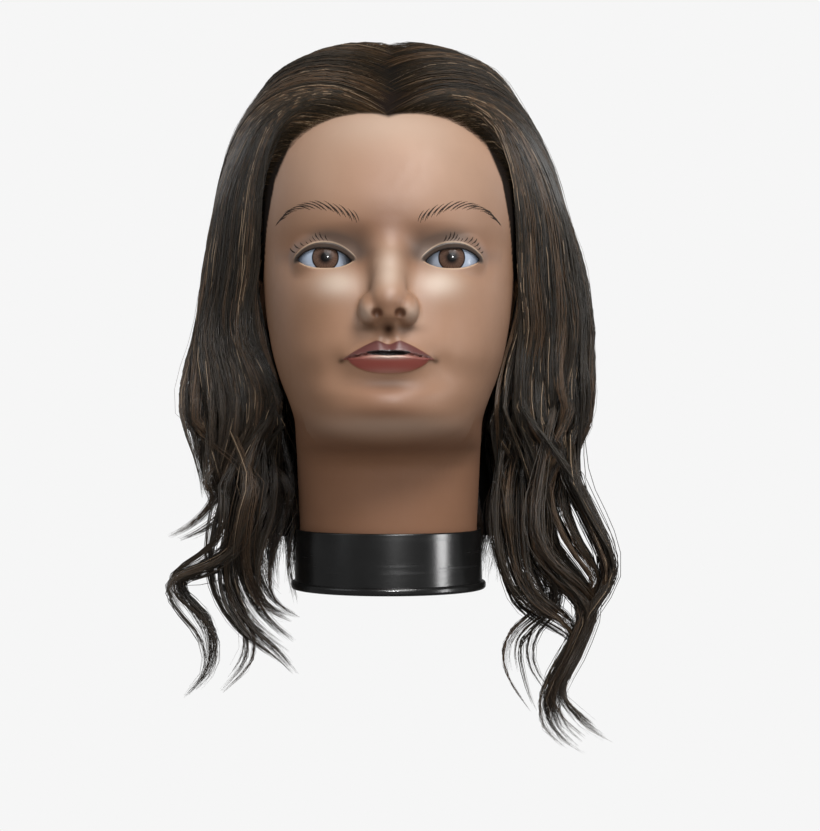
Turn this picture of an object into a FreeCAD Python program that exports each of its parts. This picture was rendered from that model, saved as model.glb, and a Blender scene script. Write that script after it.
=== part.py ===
"""Mannequin training head: a soft vinyl head over a foam core, long rooted hair, and a black neck
collar with a blind socket for a bench clamp.

Millimetres. +Z is up and the face looks along -Y. Left (-X) and right (+X) are those of someone who
faces the head. The origin is the centre of the clamp socket's mouth, in the underside of the neck.
"""
import FreeCAD
import Part
import math
import os

Vector = FreeCAD.Vector

# --- driving dimensions -------------------------------------------------------------------------
SKIN_WALL = 3.0  # vinyl shell
CLEARANCE = 0.4  # between curved faces that lie along each other
OFFSET_STEPS = 6  # samples to each side when a line is moved square to itself
OUTLINE_POINTS = 28  # points on each horizontal outline of the head and the hair
# Superellipse power of the head's front half, by height: an ellipse at the neck, fuller at the face.
FACE_FULLNESS = [(40, 2.0), (100, 2.3)]

COLLAR_HALF_WIDTH = 51.0
COLLAR_HALF_DEPTH = 52.6
COLLAR_HEIGHT = 32.0
COLLAR_WALL = 1.7
COLLAR_DRAFT = 0.6  # how much narrower the collar's rim is than its foot
BEAD_PROUD = 1.9  # how far the foot bead stands out of the collar
BEAD_HEIGHT = 4.2
LIP_WIDTH = 6.0  # inward lip at the collar's foot
LIP_HEIGHT = 2.4

SOCKET_RADIUS = 13.5
SOCKET_DEPTH = 86.0
TUBE_WALL = 2.4
TUBE_FLANGE_RADIUS = 22.0
TUBE_FLANGE_HEIGHT = 2.4
CAP_THICKNESS = 3.0
CAP_SKIRT = 9.0

PLATE_THICKNESS = 3.0
PLATE_RECESS = 0.4  # how far the base plate sits above the collar's foot
PLATE_RIB_COUNT = 8
PLATE_RIB_HEIGHT = 5.0
PLATE_RIB_WIDTH = 1.8
SCREW_CIRCLE_RADIUS = 34.0
SCREW_COUNT = 4
SCREW_SHANK_RADIUS = 1.9
SCREW_HEAD_RADIUS = 3.6
SCREW_HEAD_HEIGHT = 1.6
SCREW_LENGTH = 22.0
SCREW_PLAY = 0.05  # radial

NECK_BLOCK_TOP = 92.0
SKIN_BOTTOM = 2.8
HEAD_TOP = 285.0

EYE_RADIUS = 16.0
EYE_SPACING = 31.6  # from the mid-plane to each eye's centre
EYE_CENTRE_Y = -62.0
EYE_CENTRE_Z = 172.0
EYE_OPENING_HALF_WIDTH = 13.6
EYE_OPENING_HALF_HEIGHT = 5.0
LID_THICKNESS = 1.5
IRIS_RADIUS = 6.7
IRIS_DEPTH = 0.6  # thickness of the inlaid iris

EAR_CENTRE = (69.5, 8.0, 163.0)
EAR_RADII = (6.0, 14.0, 27.0)
EAR_TILT_DEG = -12.0

# --- outlines of the head: (height, value) --------------------------------------------------------
# Foremost line of the face in the mid-plane, without the nose and the lips.
FACE_LINE = [(0, -48.6), (34, -48.4), (60, -47.0), (76, -48.5), (84, -57.0), (90, -76.0), (96, -87.5),
             (103, -92.0), (112, -91.5), (124, -95.0), (136, -94.0), (150, -90.0), (165, -86.5),
             (178, -85.0), (190, -88.5), (202, -89.5), (216, -86.5), (230, -80.5), (245, -69.5),
             (258, -55.0), (270, -36.5), (279, -17.0), (285, 2.0)]
# Rearmost line of the nape and the skull.
BACK_LINE = [(0, 49.0), (34, 49.6), (60, 53.0), (80, 57.5), (100, 66.0), (120, 76.0), (140, 84.5),
             (160, 90.5), (180, 93.5), (200, 93.0), (220, 88.0), (240, 77.5), (258, 62.0),
             (270, 46.5), (279, 29.0), (285, 12.0)]
HALF_WIDTH = [(0, 48.0), (34, 48.2), (60, 49.4), (80, 50.2), (92, 51.0), (103, 54.5), (112, 58.0),
              (125, 61.8), (140, 64.8), (160, 67.6), (180, 69.6), (200, 71.0), (215, 70.6),
              (230, 68.0), (245, 62.0), (258, 52.6), (270, 39.0), (279, 22.0), (285, 5.0)]
# Where each outline is widest.
CENTRE_LINE = [(0, 0.0), (60, 2.0), (90, 0.0), (125, -4.0), (160, 0.0), (200, 7.0), (240, 9.0),
               (285, 7.0)]
HEAD_LEVELS = [11, 21, 33, 46, 58, 67, 74, 80, 85, 89, 93, 98, 104, 112, 122, 134, 147, 161, 176, 191,
               206, 221, 235, 247, 257, 265, 272, 278, 282]

# --- outlines of the hair ---------------------------------------------------------------------------
HAIR_HALF_WIDTH_RIGHT = [(8, 104.0), (30, 108.0), (52, 107.0), (72, 110.0), (98, 115.5), (124, 115.5),
                         (150, 114.0), (176, 108.0), (202, 100.0), (228, 92.0), (250, 82.5),
                         (268, 70.0), (281, 55.0), (289, 39.0), (293, 27.0), (296, 12.0)]
HAIR_HALF_WIDTH_LEFT = [(8, 100.0), (30, 103.0), (52, 100.0), (72, 109.5), (98, 111.5), (124, 110.0),
                        (150, 106.0), (176, 102.0), (202, 98.0), (228, 92.0), (250, 84.0),
                        (268, 74.0), (281, 61.0), (289, 43.0), (293, 29.0),
                        (296, 13.0)]
HAIR_FRONT_LINE = [(8, -30.0), (60, -36.0), (124, -46.0), (176, -56.0), (210, -64.0), (230, -69.0),
                   (246, -72.0), (256, -67.0), (268, -55.0), (281, -34.0), (289, -17.0), (293, -7.0),
                   (296, 3.0)]
HAIR_BACK_LINE = [(8, 79.0), (30, 85.0), (60, 93.0), (100, 103.0), (140, 110.0), (180, 112.0),
                  (215, 108.5), (240, 101.0), (262, 86.0), (278, 64.0), (289, 43.0), (293, 33.0),
                  (296, 21.0)]
# The hollow inside the hair: it follows the skull down to the ears, then hangs clear of the neck.
HAIR_INNER_WIDTH = [(0, 56.5), (60, 57.0), (90, 59.0), (110, 63.0), (130, 67.5), (150, 71.0)]
HAIR_INNER_FRONT = [(0, -60.0), (150, -93.0)]
HAIR_INNER_BACK = [(0, 58.5), (60, 62.0), (90, 69.5), (120, 81.0), (150, 91.5)]
HAIR_SCALP_FROM = 165.0  # above this the hollow is the scalp itself
SCALP_CLEARANCE = 0.8
HAIR_LEVELS = [4, 30, 52, 76, 100, 126, 150, 176, 200, 222, 242, 258, 270, 280, 288, 293, 296]
HAIR_INNER_LEVELS = [4, 18, 32, 46, 60, 75, 90, 105, 120, 135, 150, 176, 191, 206, 221, 235, 247, 257, 265, 272, 278, 282,
                     HEAD_TOP + SCALP_CLEARANCE]

# The side outline of the hairline, as (y, z): the hair lies behind it.
HAIRLINE = [(-66.0, 246.5), (-56.0, 236.0), (-44.0, 214.0), (-37.0, 190.0), (-31.0, 165.0),
            (-22.0, 140.0), (-12.0, 105.0), (-5.0, 60.0), (0.0, 0.0)]

CAP_BOTTOM = 196.0  # the hair that stays on the head ends here
CURTAIN_TOP = 189.5  # the hair that hangs free starts here
CURTAIN_BOTTOM = 30.0
BACK_BOTTOM = 9.0
CROWN_FRONT = 26.0  # y where the crown section starts
SIDE_BACK = 44.0  # y where the back sections start
PARTING = 0.4  # width of the gap between two hair sections
SWING_RELIEF_DEG = 24.0  # slope of a hanging section's upper end, so that it can swing outward
SIDE_HINGE_X = 79.0
BACK_HINGE_Y = 67.0

# Each wavy lock: (x, y, z, half width, half depth) of its outlines, from the curtain to the tip.
LOCKS = {
    "lock_left_outer": [(-88, 4, CURTAIN_BOTTOM, 13, 12), (-103, 4, 18, 11, 10), (-112, 2, 6, 9, 8),
                        (-106, 0, -6, 9, 8), (-97, -1, -18, 7, 7), (-95, -2, -32, 6, 6),
                        (-103, -2, -48, 4, 4)],
    "lock_left_middle": [(-86, 30, CURTAIN_BOTTOM, 12, 11), (-86, 28, 12, 12, 10), (-82, 26, -8, 10, 9),
                         (-76, 24, -24, 8, 7), (-72, 22, -38, 6, 5), (-62, 20, -48, 4, 4)],
    "lock_left_inner": [(-66, 10, CURTAIN_BOTTOM, 8, 10), (-67, 10, 14, 8, 9), (-66, 9, 0, 7, 8),
                        (-62, 8, -12, 4, 5)],
    "lock_right_outer": [(90, 4, CURTAIN_BOTTOM, 13, 12), (108, 4, 17, 12, 10), (115, 3, 4, 9, 8),
                         (108, 2, -10, 9, 8), (98, 1, -26, 8, 7), (92, 0, -44, 7, 6),
                         (91, -1, -62, 6, 5), (100, -1, -76, 6, 4), (112, -1, -86, 6, 3)],
    "lock_right_middle": [(88, 31, CURTAIN_BOTTOM, 13, 12), (90, 30, 10, 12, 11), (86, 28, -10, 10, 9),
                          (76, 25, -28, 7, 7), (70, 22, -46, 6, 5), (76, 20, -62, 5, 4),
                          (84, 18, -74, 4, 3)],
    "lock_right_inner": [(66, 10, CURTAIN_BOTTOM, 8, 10), (67, 10, 12, 8, 9), (70, 9, -4, 7, 8),
                         (76, 8, -18, 4, 5)],
}


# --- helpers ------------------------------------------------------------------------------------
def value_at(table, height):
    """A smooth value between the points of a (height, value) table, by cubic Hermite spans."""
    heights = [row[0] for row in table]
    if height <= heights[0]:
        return float(table[0][1])
    if height >= heights[-1]:
        return float(table[-1][1])
    span = max(i for i in range(len(table) - 1) if heights[i] <= height)

    def slope(i):
        low, high = max(i - 1, 0), min(i + 1, len(table) - 1)
        return (table[high][1] - table[low][1]) / (table[high][0] - table[low][0])

    (z0, v0), (z1, v1) = table[span], table[span + 1]
    step = z1 - z0
    t = (height - z0) / step
    return (v0 * (2 * t**3 - 3 * t**2 + 1) + slope(span) * step * (t**3 - 2 * t**2 + t)
            + v1 * (3 * t**2 - 2 * t**3) + slope(span + 1) * step * (t**3 - t**2))


def offset_value(table, height, grow, outward):
    """A table's value at one height after its line is moved by grow, square to itself.

    outward is 1 where larger values lie further out, and -1 where smaller ones do. A negative grow
    moves the line inward.
    """
    candidates = []
    for i in range(-OFFSET_STEPS, OFFSET_STEPS + 1):
        share = i / OFFSET_STEPS
        beside = value_at(table, height + grow * share)
        candidates.append(outward * beside + grow * math.sqrt(1 - share**2))
    return outward * (max(candidates) if grow >= 0 else min(candidates))


def outline(height, right, left, front, back, centre, fullness=2.0):
    """A closed smooth wire at one height, a round shape with four different half axes."""
    points = []
    for i in range(OUTLINE_POINTS):
        angle = 2 * math.pi * i / OUTLINE_POINTS
        across, along = math.cos(angle), math.sin(angle)
        if along < 0:
            across = math.copysign(abs(across) ** (2 / fullness), across)
            along = -abs(along) ** (2 / fullness)
        x = across * (right if across > 0 else left)
        y = centre + along * ((back - centre) if along > 0 else (centre - front))
        points.append(Vector(x, y, height))
    curve = Part.BSplineCurve()
    curve.interpolate(points, PeriodicFlag=True)
    return Part.Wire([curve.toShape()])


def head_outline(height, grow=0.0):
    """The head's outline at one height, moved outward by grow."""
    width = max(offset_value(HALF_WIDTH, height, grow, 1), 2.0)
    centre = value_at(CENTRE_LINE, height)
    front = min(offset_value(FACE_LINE, height, grow, -1), centre - 2.0)
    back = max(offset_value(BACK_LINE, height, grow, 1), centre + 2.0)
    return outline(height, width, width, front, back, centre, value_at(FACE_FULLNESS, height))


def head_solid(grow, bottom):
    """A closed solid in the head's shape, moved outward by grow, from bottom to its crown."""
    top = HEAD_TOP + grow
    levels = [bottom] + [z for z in HEAD_LEVELS if z < top - 2] + [top]
    return Part.makeLoft([head_outline(z, grow) for z in levels], True)


def ellipse_prism(half_width, half_depth, bottom, top, draft=0.0):
    """An upright elliptical solid that narrows by draft towards its top."""
    wires = []
    for height, shrink in ((bottom, 0.0), (top, draft)):
        a, b = half_width - shrink, half_depth - shrink
        centre = Vector(0, 0, height)
        if b >= a:
            ellipse = Part.Ellipse(Vector(0, b, height), Vector(a, 0, height), centre)
        else:
            ellipse = Part.Ellipse(Vector(a, 0, height), Vector(0, b, height), centre)
        wires.append(Part.Wire([ellipse.toShape()]))
    return Part.makeLoft(wires, True, True)


def cylinder(radius, bottom, top, x=0.0, y=0.0):
    return Part.makeCylinder(radius, top - bottom, Vector(x, y, bottom))


def ellipsoid(centre, radii, tilt_deg=0.0, tilt_axis=Vector(1, 0, 0)):
    ball = Part.makeSphere(1.0)
    matrix = FreeCAD.Matrix()
    matrix.scale(*radii)
    ball = ball.transformGeometry(matrix)
    ball.rotate(Vector(0, 0, 0), tilt_axis, tilt_deg)
    ball.translate(Vector(*centre))
    return ball


def slab(x_range, y_range, z_range):
    low = Vector(x_range[0], y_range[0], z_range[0])
    return Part.makeBox(x_range[1] - x_range[0], y_range[1] - y_range[0], z_range[1] - z_range[0], low)


def stacked_ellipses(rows):
    """A soft lock of hair: a smooth solid through horizontal ellipses (x, y, z, half width, half depth)."""
    wires = []
    for x, y, z, a, b in rows:
        points = []
        for i in range(12):
            angle = 2 * math.pi * i / 12
            points.append(Vector(x + a * math.cos(angle), y + b * math.sin(angle), z))
        curve = Part.BSplineCurve()
        curve.interpolate(points, PeriodicFlag=True)
        wires.append(Part.Wire([curve.toShape()]))
    return Part.makeLoft(wires, True)


# --- the head -------------------------------------------------------------------------------------
def nose():
    """The nose, as a loft of horizontal ellipses that widen to the wings and narrow to the base."""
    return stacked_ellipses([(0, -82, 181, 4.0, 4.5), (0, -84, 172, 5.0, 7.5), (0, -86, 162, 6.2, 12.5),
                             (0, -87, 153, 9.0, 19.5), (0, -87, 146, 14.0, 21.5), (0, -87, 141, 15.5, 18.5),
                             (0, -87, 136.5, 12.0, 12.5)])


def lips():
    return [ellipsoid((0, -91.0, 127.5), (22.5, 9.5, 4.6)), ellipsoid((0, -91.0, 118.5), (19.0, 9.8, 5.4))]


def ears():
    return [ellipsoid((side * EAR_CENTRE[0], EAR_CENTRE[1], EAR_CENTRE[2]), EAR_RADII, EAR_TILT_DEG)
            for side in (-1, 1)]


def eye_centre(side):
    return Vector(side * EYE_SPACING, EYE_CENTRE_Y, EYE_CENTRE_Z)


def eye_window(side):
    """The opening between the lids, an elliptical hole straight through the skin."""
    centre = Vector(side * EYE_SPACING, -110, EYE_CENTRE_Z)
    wide = centre + Vector(EYE_OPENING_HALF_WIDTH, 0, 0)
    tall = centre + Vector(0, 0, EYE_OPENING_HALF_HEIGHT)
    face = Part.Face(Part.Wire([Part.Ellipse(wide, tall, centre).toShape()]))
    return face.extrude(Vector(0, 45, 0))


def make_skin():
    """The vinyl shell: face, scalp, ears and neck in one moulding, open at the neck."""
    lids = [Part.makeSphere(EYE_RADIUS + CLEARANCE + LID_THICKNESS, eye_centre(side)) for side in (-1, 1)]
    wall = head_solid(0.0, SKIN_BOTTOM).cut(head_solid(-SKIN_WALL, SKIN_BOTTOM - 1.0))
    mid_wall = head_solid(-SKIN_WALL / 2, SKIN_BOTTOM - 1.0)
    features = [feature.cut(mid_wall) for feature in [nose()] + lips() + ears() + lids]
    skin = wall.multiFuse(features)
    for side in (-1, 1):
        skin = skin.cut(Part.makeSphere(EYE_RADIUS + CLEARANCE, eye_centre(side)))
        skin = skin.cut(eye_window(side))
    return skin


def make_eye(side):
    """A moulded eye: a ball with a flat back, less the recess for its iris."""
    centre = eye_centre(side)
    return front_of_ball(centre, EYE_RADIUS, EYE_CENTRE_Y).cut(iris_shape(side, CLEARANCE / 10))


def front_of_ball(centre, radius, back):
    """The part of a ball in front of the plane y = back."""
    box = slab((centre.x - 30, centre.x + 30), (-120, back), (centre.z - 30, centre.z + 30))
    return Part.makeSphere(radius, centre).common(box)


def iris_shape(side, grow=0.0):
    """The iris with its pupil: a thin curved disc let into the front of the eye."""
    centre = eye_centre(side)
    shell = Part.makeSphere(EYE_RADIUS, centre).cut(
        Part.makeSphere(EYE_RADIUS - IRIS_DEPTH - grow, centre))
    core = Part.makeCylinder(IRIS_RADIUS + grow, 40, Vector(centre.x, -100, centre.z), Vector(0, 1, 0))
    return shell.common(core).common(slab((-120, 120), (-120, EYE_CENTRE_Y), (0, 300)))


def inner_head(bottom, top=HEAD_TOP):
    """The space inside the skin between two heights, less its clearance."""
    space = head_solid(-SKIN_WALL - CLEARANCE, SKIN_BOTTOM - 1.0)
    return space.common(slab((-100, 100), (-120, 120), (bottom, top)))


def make_foam():
    """The foam that fills the skull, above the neck block, with a round flat seat for each eye."""
    foam = inner_head(NECK_BLOCK_TOP + CLEARANCE)
    for side in (-1, 1):
        seat = Vector(side * EYE_SPACING, EYE_CENTRE_Y + CLEARANCE, EYE_CENTRE_Z)
        foam = foam.cut(Part.makeCylinder(EYE_RADIUS + CLEARANCE, 60, seat, Vector(0, -1, 0)))
    return foam


def make_neck_block():
    """The stiff block in the neck that carries the socket tube and takes the screws."""
    bottom = PLATE_RECESS + PLATE_THICKNESS + PLATE_RIB_HEIGHT + CLEARANCE
    block = inner_head(bottom, NECK_BLOCK_TOP)
    tube_hole = cylinder(SOCKET_RADIUS + TUBE_WALL + 0.1, bottom - 1, SOCKET_DEPTH)
    cap_hole = cylinder(SOCKET_RADIUS + TUBE_WALL + CAP_THICKNESS + 0.1,
                        SOCKET_DEPTH - CAP_SKIRT - 0.2, NECK_BLOCK_TOP + 1)
    block = block.cut(tube_hole).cut(cap_hole)
    for x, y in screw_places():
        block = block.cut(cylinder(SCREW_SHANK_RADIUS + SCREW_PLAY, bottom - 1, screw_tip() + 1.0, x, y))
    return block


# --- the neck's fittings --------------------------------------------------------------------------
def make_collar():
    """The black ring round the foot of the neck, with a rounded bead outside and a lip inside."""
    wall = ellipse_prism(COLLAR_HALF_WIDTH, COLLAR_HALF_DEPTH, 0, COLLAR_HEIGHT, COLLAR_DRAFT)
    rim_radius = COLLAR_WALL * 0.4
    wall = wall.makeFillet(rim_radius, [e for e in wall.Edges if e.BoundBox.ZMin > COLLAR_HEIGHT - 1
                                        and e.BoundBox.DiagonalLength > COLLAR_HALF_WIDTH])
    bead = ellipse_prism(COLLAR_HALF_WIDTH + BEAD_PROUD, COLLAR_HALF_DEPTH + BEAD_PROUD, 0, BEAD_HEIGHT)
    round_edges = [e for e in bead.Edges if abs(e.BoundBox.ZMax - e.BoundBox.ZMin) < 0.1]
    bead = bead.makeFillet(BEAD_PROUD * 0.8, round_edges)
    inside = ellipse_prism(COLLAR_HALF_WIDTH - COLLAR_WALL, COLLAR_HALF_DEPTH - COLLAR_WALL, LIP_HEIGHT,
                           COLLAR_HEIGHT + 1, COLLAR_DRAFT)
    mouth = ellipse_prism(COLLAR_HALF_WIDTH - COLLAR_WALL - LIP_WIDTH,
                          COLLAR_HALF_DEPTH - COLLAR_WALL - LIP_WIDTH, -1, LIP_HEIGHT + 1)
    return wall.fuse(bead).cut(inside).cut(mouth)


def plate_half_axes():
    inset = COLLAR_WALL + LIP_WIDTH + CLEARANCE
    return COLLAR_HALF_WIDTH - inset, COLLAR_HALF_DEPTH - inset


def make_base_plate():
    """The plate that closes the underside: a hub for the tube, stiffening ribs and screw holes."""
    a, b = plate_half_axes()
    floor = PLATE_RECESS + PLATE_THICKNESS
    plate = ellipse_prism(a, b, PLATE_RECESS, floor)
    hub_radius = TUBE_FLANGE_RADIUS + CLEARANCE
    for i in range(PLATE_RIB_COUNT):
        angle = 360.0 * (i + 0.5) / PLATE_RIB_COUNT
        rib = slab((hub_radius + 2, a - 2), (-PLATE_RIB_WIDTH / 2, PLATE_RIB_WIDTH / 2),
                   (floor - 0.5, floor + PLATE_RIB_HEIGHT))
        rib.rotate(Vector(0, 0, 0), Vector(0, 0, 1), angle)
        plate = plate.fuse(rib)
    ring = cylinder(hub_radius + 2.4, floor - 0.5, floor + TUBE_FLANGE_HEIGHT).cut(
        cylinder(hub_radius, floor - 1, floor + PLATE_RIB_HEIGHT))
    plate = plate.fuse(ring).cut(cylinder(SOCKET_RADIUS + TUBE_WALL + 0.1, -1, floor + 1))
    for x, y in screw_places():
        plate = plate.cut(cylinder(SCREW_SHANK_RADIUS + SCREW_PLAY, -1, floor + 1, x, y))
        plate = plate.cut(cylinder(SCREW_HEAD_RADIUS + 0.2, -1, PLATE_RECESS + SCREW_HEAD_HEIGHT, x, y))
    return plate


def screw_places():
    for i in range(SCREW_COUNT):
        angle = 2 * math.pi * i / SCREW_COUNT
        yield SCREW_CIRCLE_RADIUS * math.cos(angle), SCREW_CIRCLE_RADIUS * math.sin(angle)


def screw_tip():
    return PLATE_RECESS + SCREW_HEAD_HEIGHT + SCREW_LENGTH


def make_screws():
    """Four self-tapping screws up through the base plate, with a cross slot in each head."""
    screws = []
    for x, y in screw_places():
        head_bottom = PLATE_RECESS + 0.1
        head_top = PLATE_RECESS + SCREW_HEAD_HEIGHT
        head = cylinder(SCREW_HEAD_RADIUS, head_bottom, head_top, x, y)
        shank = cylinder(SCREW_SHANK_RADIUS, head_top - 0.5, screw_tip() - 3.0, x, y)
        point = Part.makeCone(SCREW_SHANK_RADIUS, 0.3, 3.0, Vector(x, y, screw_tip() - 3.0))
        slots = [slab((x - l, x + l), (y - w, y + w), (head_bottom - 1, head_bottom + 0.8))
                 for l, w in ((2.2, 0.45), (0.45, 2.2))]
        screws.append(head.fuse(shank).fuse(point).cut(slots[0]).cut(slots[1]))
    return Part.makeCompound(screws)


def make_socket_tube():
    """The plain tube that a clamp's post slides into, with a foot flange held under the block."""
    flange_bottom = PLATE_RECESS + PLATE_THICKNESS + 0.05
    tube = cylinder(SOCKET_RADIUS + TUBE_WALL, 0, SOCKET_DEPTH)
    flange = cylinder(TUBE_FLANGE_RADIUS, flange_bottom, flange_bottom + TUBE_FLANGE_HEIGHT)
    return tube.fuse(flange).cut(cylinder(SOCKET_RADIUS, -1, SOCKET_DEPTH + 1))


def make_socket_cap():
    """The cup that closes the tube's upper end and keeps the foam out."""
    skirt_radius = SOCKET_RADIUS + TUBE_WALL + CAP_THICKNESS
    cup = cylinder(skirt_radius, SOCKET_DEPTH - CAP_SKIRT, SOCKET_DEPTH + CAP_THICKNESS)
    return cup.cut(cylinder(SOCKET_RADIUS + TUBE_WALL + 0.05, SOCKET_DEPTH - CAP_SKIRT - 1, SOCKET_DEPTH))


# --- the hair ---------------------------------------------------------------------------------------
def hair_outer():
    wires = []
    for z in HAIR_LEVELS:
        back = value_at(HAIR_BACK_LINE, z)
        front = value_at(HAIR_FRONT_LINE, z)
        wires.append(outline(z, value_at(HAIR_HALF_WIDTH_RIGHT, z), value_at(HAIR_HALF_WIDTH_LEFT, z),
                             front, back, min(12.0, (front + back) / 2 + 4)))
    return Part.makeLoft(wires, True)


def hair_inner():
    """The hollow in the hair, a little larger than the scalp and well clear of the neck."""
    wires = []
    for z in HAIR_INNER_LEVELS:
        if z > HAIR_SCALP_FROM:
            wires.append(head_outline(z, SCALP_CLEARANCE))
            continue
        width = value_at(HAIR_INNER_WIDTH, z)
        wires.append(outline(z, width, width, value_at(HAIR_INNER_FRONT, z), value_at(HAIR_INNER_BACK, z),
                             value_at(CENTRE_LINE, z)))
    return Part.makeLoft(wires, True)


def face_window():
    """Everything in front of the hairline, seen from the side."""
    corners = [(-150.0, HAIRLINE[0][1])] + HAIRLINE + [(0.0, -20.0), (-150.0, -20.0)]
    points = [Vector(-200, y, z) for y, z in corners]
    face = Part.Face(Part.makePolygon(points + points[:1]))
    return face.extrude(Vector(400, 0, 0))


def ear_pockets():
    """Room for the ears inside the side hair."""
    x, y, z = EAR_CENTRE
    grown = [r + 2.0 for r in EAR_RADII]
    return [ellipsoid((side * x, y, z), grown, EAR_TILT_DEG) for side in (-1, 1)]


def swing_reliefs():
    """Wedges over the upper ends of the hanging sections, outward of their hinges."""
    drop = 80 * math.tan(math.radians(SWING_RELIEF_DEG))
    wedges = []
    for side in (-1, 1):
        corners = [(SIDE_HINGE_X, CURTAIN_TOP), (SIDE_HINGE_X + 80, CURTAIN_TOP),
                   (SIDE_HINGE_X + 80, CURTAIN_TOP - drop)]
        points = [Vector(side * x, -150, z) for x, z in corners]
        face = Part.Face(Part.makePolygon(points + points[:1]))
        wedges.append(face.extrude(Vector(0, 150 + SIDE_BACK, 0)))
    corners = [(BACK_HINGE_Y, CURTAIN_TOP), (BACK_HINGE_Y + 80, CURTAIN_TOP),
               (BACK_HINGE_Y + 80, CURTAIN_TOP - drop)]
    points = [Vector(-150, y, z) for y, z in corners]
    face = Part.Face(Part.makePolygon(points + points[:1]))
    wedges.append(face.extrude(Vector(300, 0, 0)))
    return wedges


def make_hair_sections():
    """Every section of the hair but its wavy ends, cut from one shell so that they meet cleanly."""
    shell = hair_outer().cut(hair_inner()).cut(face_window())
    for cutter in ear_pockets() + swing_reliefs():
        shell = shell.cut(cutter)
    half = PARTING / 2
    left, right, both = (-200, -half), (half, 200), (-200, 200)
    top, hanging, rear = (CAP_BOTTOM, 310), (CURTAIN_BOTTOM, CURTAIN_TOP), (BACK_BOTTOM, CURTAIN_TOP)
    boxes = {
        "hair_top_left": slab(left, (-150, CROWN_FRONT - half), top),
        "hair_top_right": slab(right, (-150, CROWN_FRONT - half), top),
        "hair_crown": slab(both, (CROWN_FRONT + half, 150), top),
        "hair_side_left": slab(left, (-150, SIDE_BACK - half), hanging),
        "hair_side_right": slab(right, (-150, SIDE_BACK - half), hanging),
        "hair_back_left": slab(left, (SIDE_BACK + half, 150), rear),
        "hair_back_right": slab(right, (SIDE_BACK + half, 150), rear),
    }
    return {name: shell.common(box) for name, box in boxes.items()}


# --- every node -------------------------------------------------------------------------------------
def main():
    nodes = {
        "head_skin": make_skin(),
        "skull_foam": make_foam(),
        "neck_block": make_neck_block(),
        "neck_collar": make_collar(),
        "base_plate": make_base_plate(),
        "base_screws": make_screws(),
        "socket_tube": make_socket_tube(),
        "socket_cap": make_socket_cap(),
    }
    for side, word in ((-1, "left"), (1, "right")):
        nodes["eye_" + word] = make_eye(side)
        nodes["iris_" + word] = iris_shape(side)
    nodes.update(make_hair_sections())
    nodes.update({name: stacked_ellipses(rows) for name, rows in LOCKS.items()})
    os.makedirs("parts", exist_ok=True)
    for name, shape in sorted(nodes.items()):
        solids = shape.Solids
        kept = solids[0] if len(solids) == 1 else Part.makeCompound(solids)
        kept.exportStep("parts/" + name + ".step")
        print(name, len(solids), "solids", round(kept.Volume / 1000, 1), "cm3", "valid", kept.isValid())


main()
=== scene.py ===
"""Mannequin training head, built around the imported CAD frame.

Shapes are worked out in millimetres, in the frame's own axes (+Z up, the face looks along -Y, -X is
the left of someone who faces it), and turned into metres when a mesh is made.
"""

import math
import bpy
import numpy as np
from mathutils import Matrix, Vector
from mathutils.bvhtree import BVHTree


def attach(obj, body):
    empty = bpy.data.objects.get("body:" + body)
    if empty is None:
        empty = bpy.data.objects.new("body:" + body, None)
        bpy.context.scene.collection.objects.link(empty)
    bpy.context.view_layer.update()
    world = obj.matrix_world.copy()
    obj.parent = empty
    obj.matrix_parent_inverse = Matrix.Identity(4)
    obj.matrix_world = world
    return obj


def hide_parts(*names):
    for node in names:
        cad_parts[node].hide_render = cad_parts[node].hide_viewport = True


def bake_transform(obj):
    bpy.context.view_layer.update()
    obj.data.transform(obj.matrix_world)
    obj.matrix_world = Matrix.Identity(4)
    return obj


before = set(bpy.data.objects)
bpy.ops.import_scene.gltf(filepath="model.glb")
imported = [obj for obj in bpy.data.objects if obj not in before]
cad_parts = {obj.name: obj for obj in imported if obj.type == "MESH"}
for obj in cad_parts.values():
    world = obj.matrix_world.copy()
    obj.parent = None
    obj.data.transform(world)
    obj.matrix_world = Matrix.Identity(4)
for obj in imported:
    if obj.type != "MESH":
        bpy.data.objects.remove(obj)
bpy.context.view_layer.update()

MM = 0.001

# --- the head's outlines, as (height, value) ----------------------------------------------------------
# Front and back profile, half width, and the middle of the shape at each height.
FACE_LINE = [(0, -48.6), (34, -48.4), (60, -47.0), (68, -48.5), (74, -56.0), (79, -70.0), (85, -82.0),
             (92, -89.5), (102, -92.5), (112, -91.5), (124, -94.0), (136, -93.0), (150, -90.0),
             (165, -86.5), (178, -85.0), (190, -88.5), (202, -89.5), (216, -86.5), (230, -80.5),
             (245, -69.5), (258, -55.0), (270, -36.5), (279, -17.0), (285, 2.0)]
BACK_LINE = [(0, 49.0), (34, 49.6), (60, 53.0), (80, 57.5), (100, 66.0), (120, 76.0), (140, 84.5),
             (160, 90.5), (180, 93.5), (200, 93.0), (220, 88.0), (240, 77.5), (258, 62.0),
             (270, 46.5), (279, 29.0), (285, 12.0)]
HALF_WIDTH = [(0, 48.0), (34, 48.2), (60, 49.4), (80, 50.2), (92, 51.0), (103, 54.5), (112, 58.0),
              (125, 61.8), (140, 64.8), (160, 67.6), (180, 69.6), (200, 71.0), (215, 70.6),
              (230, 68.0), (245, 62.0), (258, 52.6), (270, 39.0), (279, 22.0), (285, 5.0)]
CENTRE_LINE = [(0, 0.0), (60, 2.0), (90, 0.0), (125, -4.0), (160, 0.0), (200, 7.0), (240, 9.0),
               (285, 7.0)]
FACE_FULLNESS = [(40, 2.0), (100, 2.3)]  # 2 is an ellipse, more is squarer
HEAD_TOP = HALF_WIDTH[-1][0]
SKIN_BOTTOM = 2.8

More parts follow.
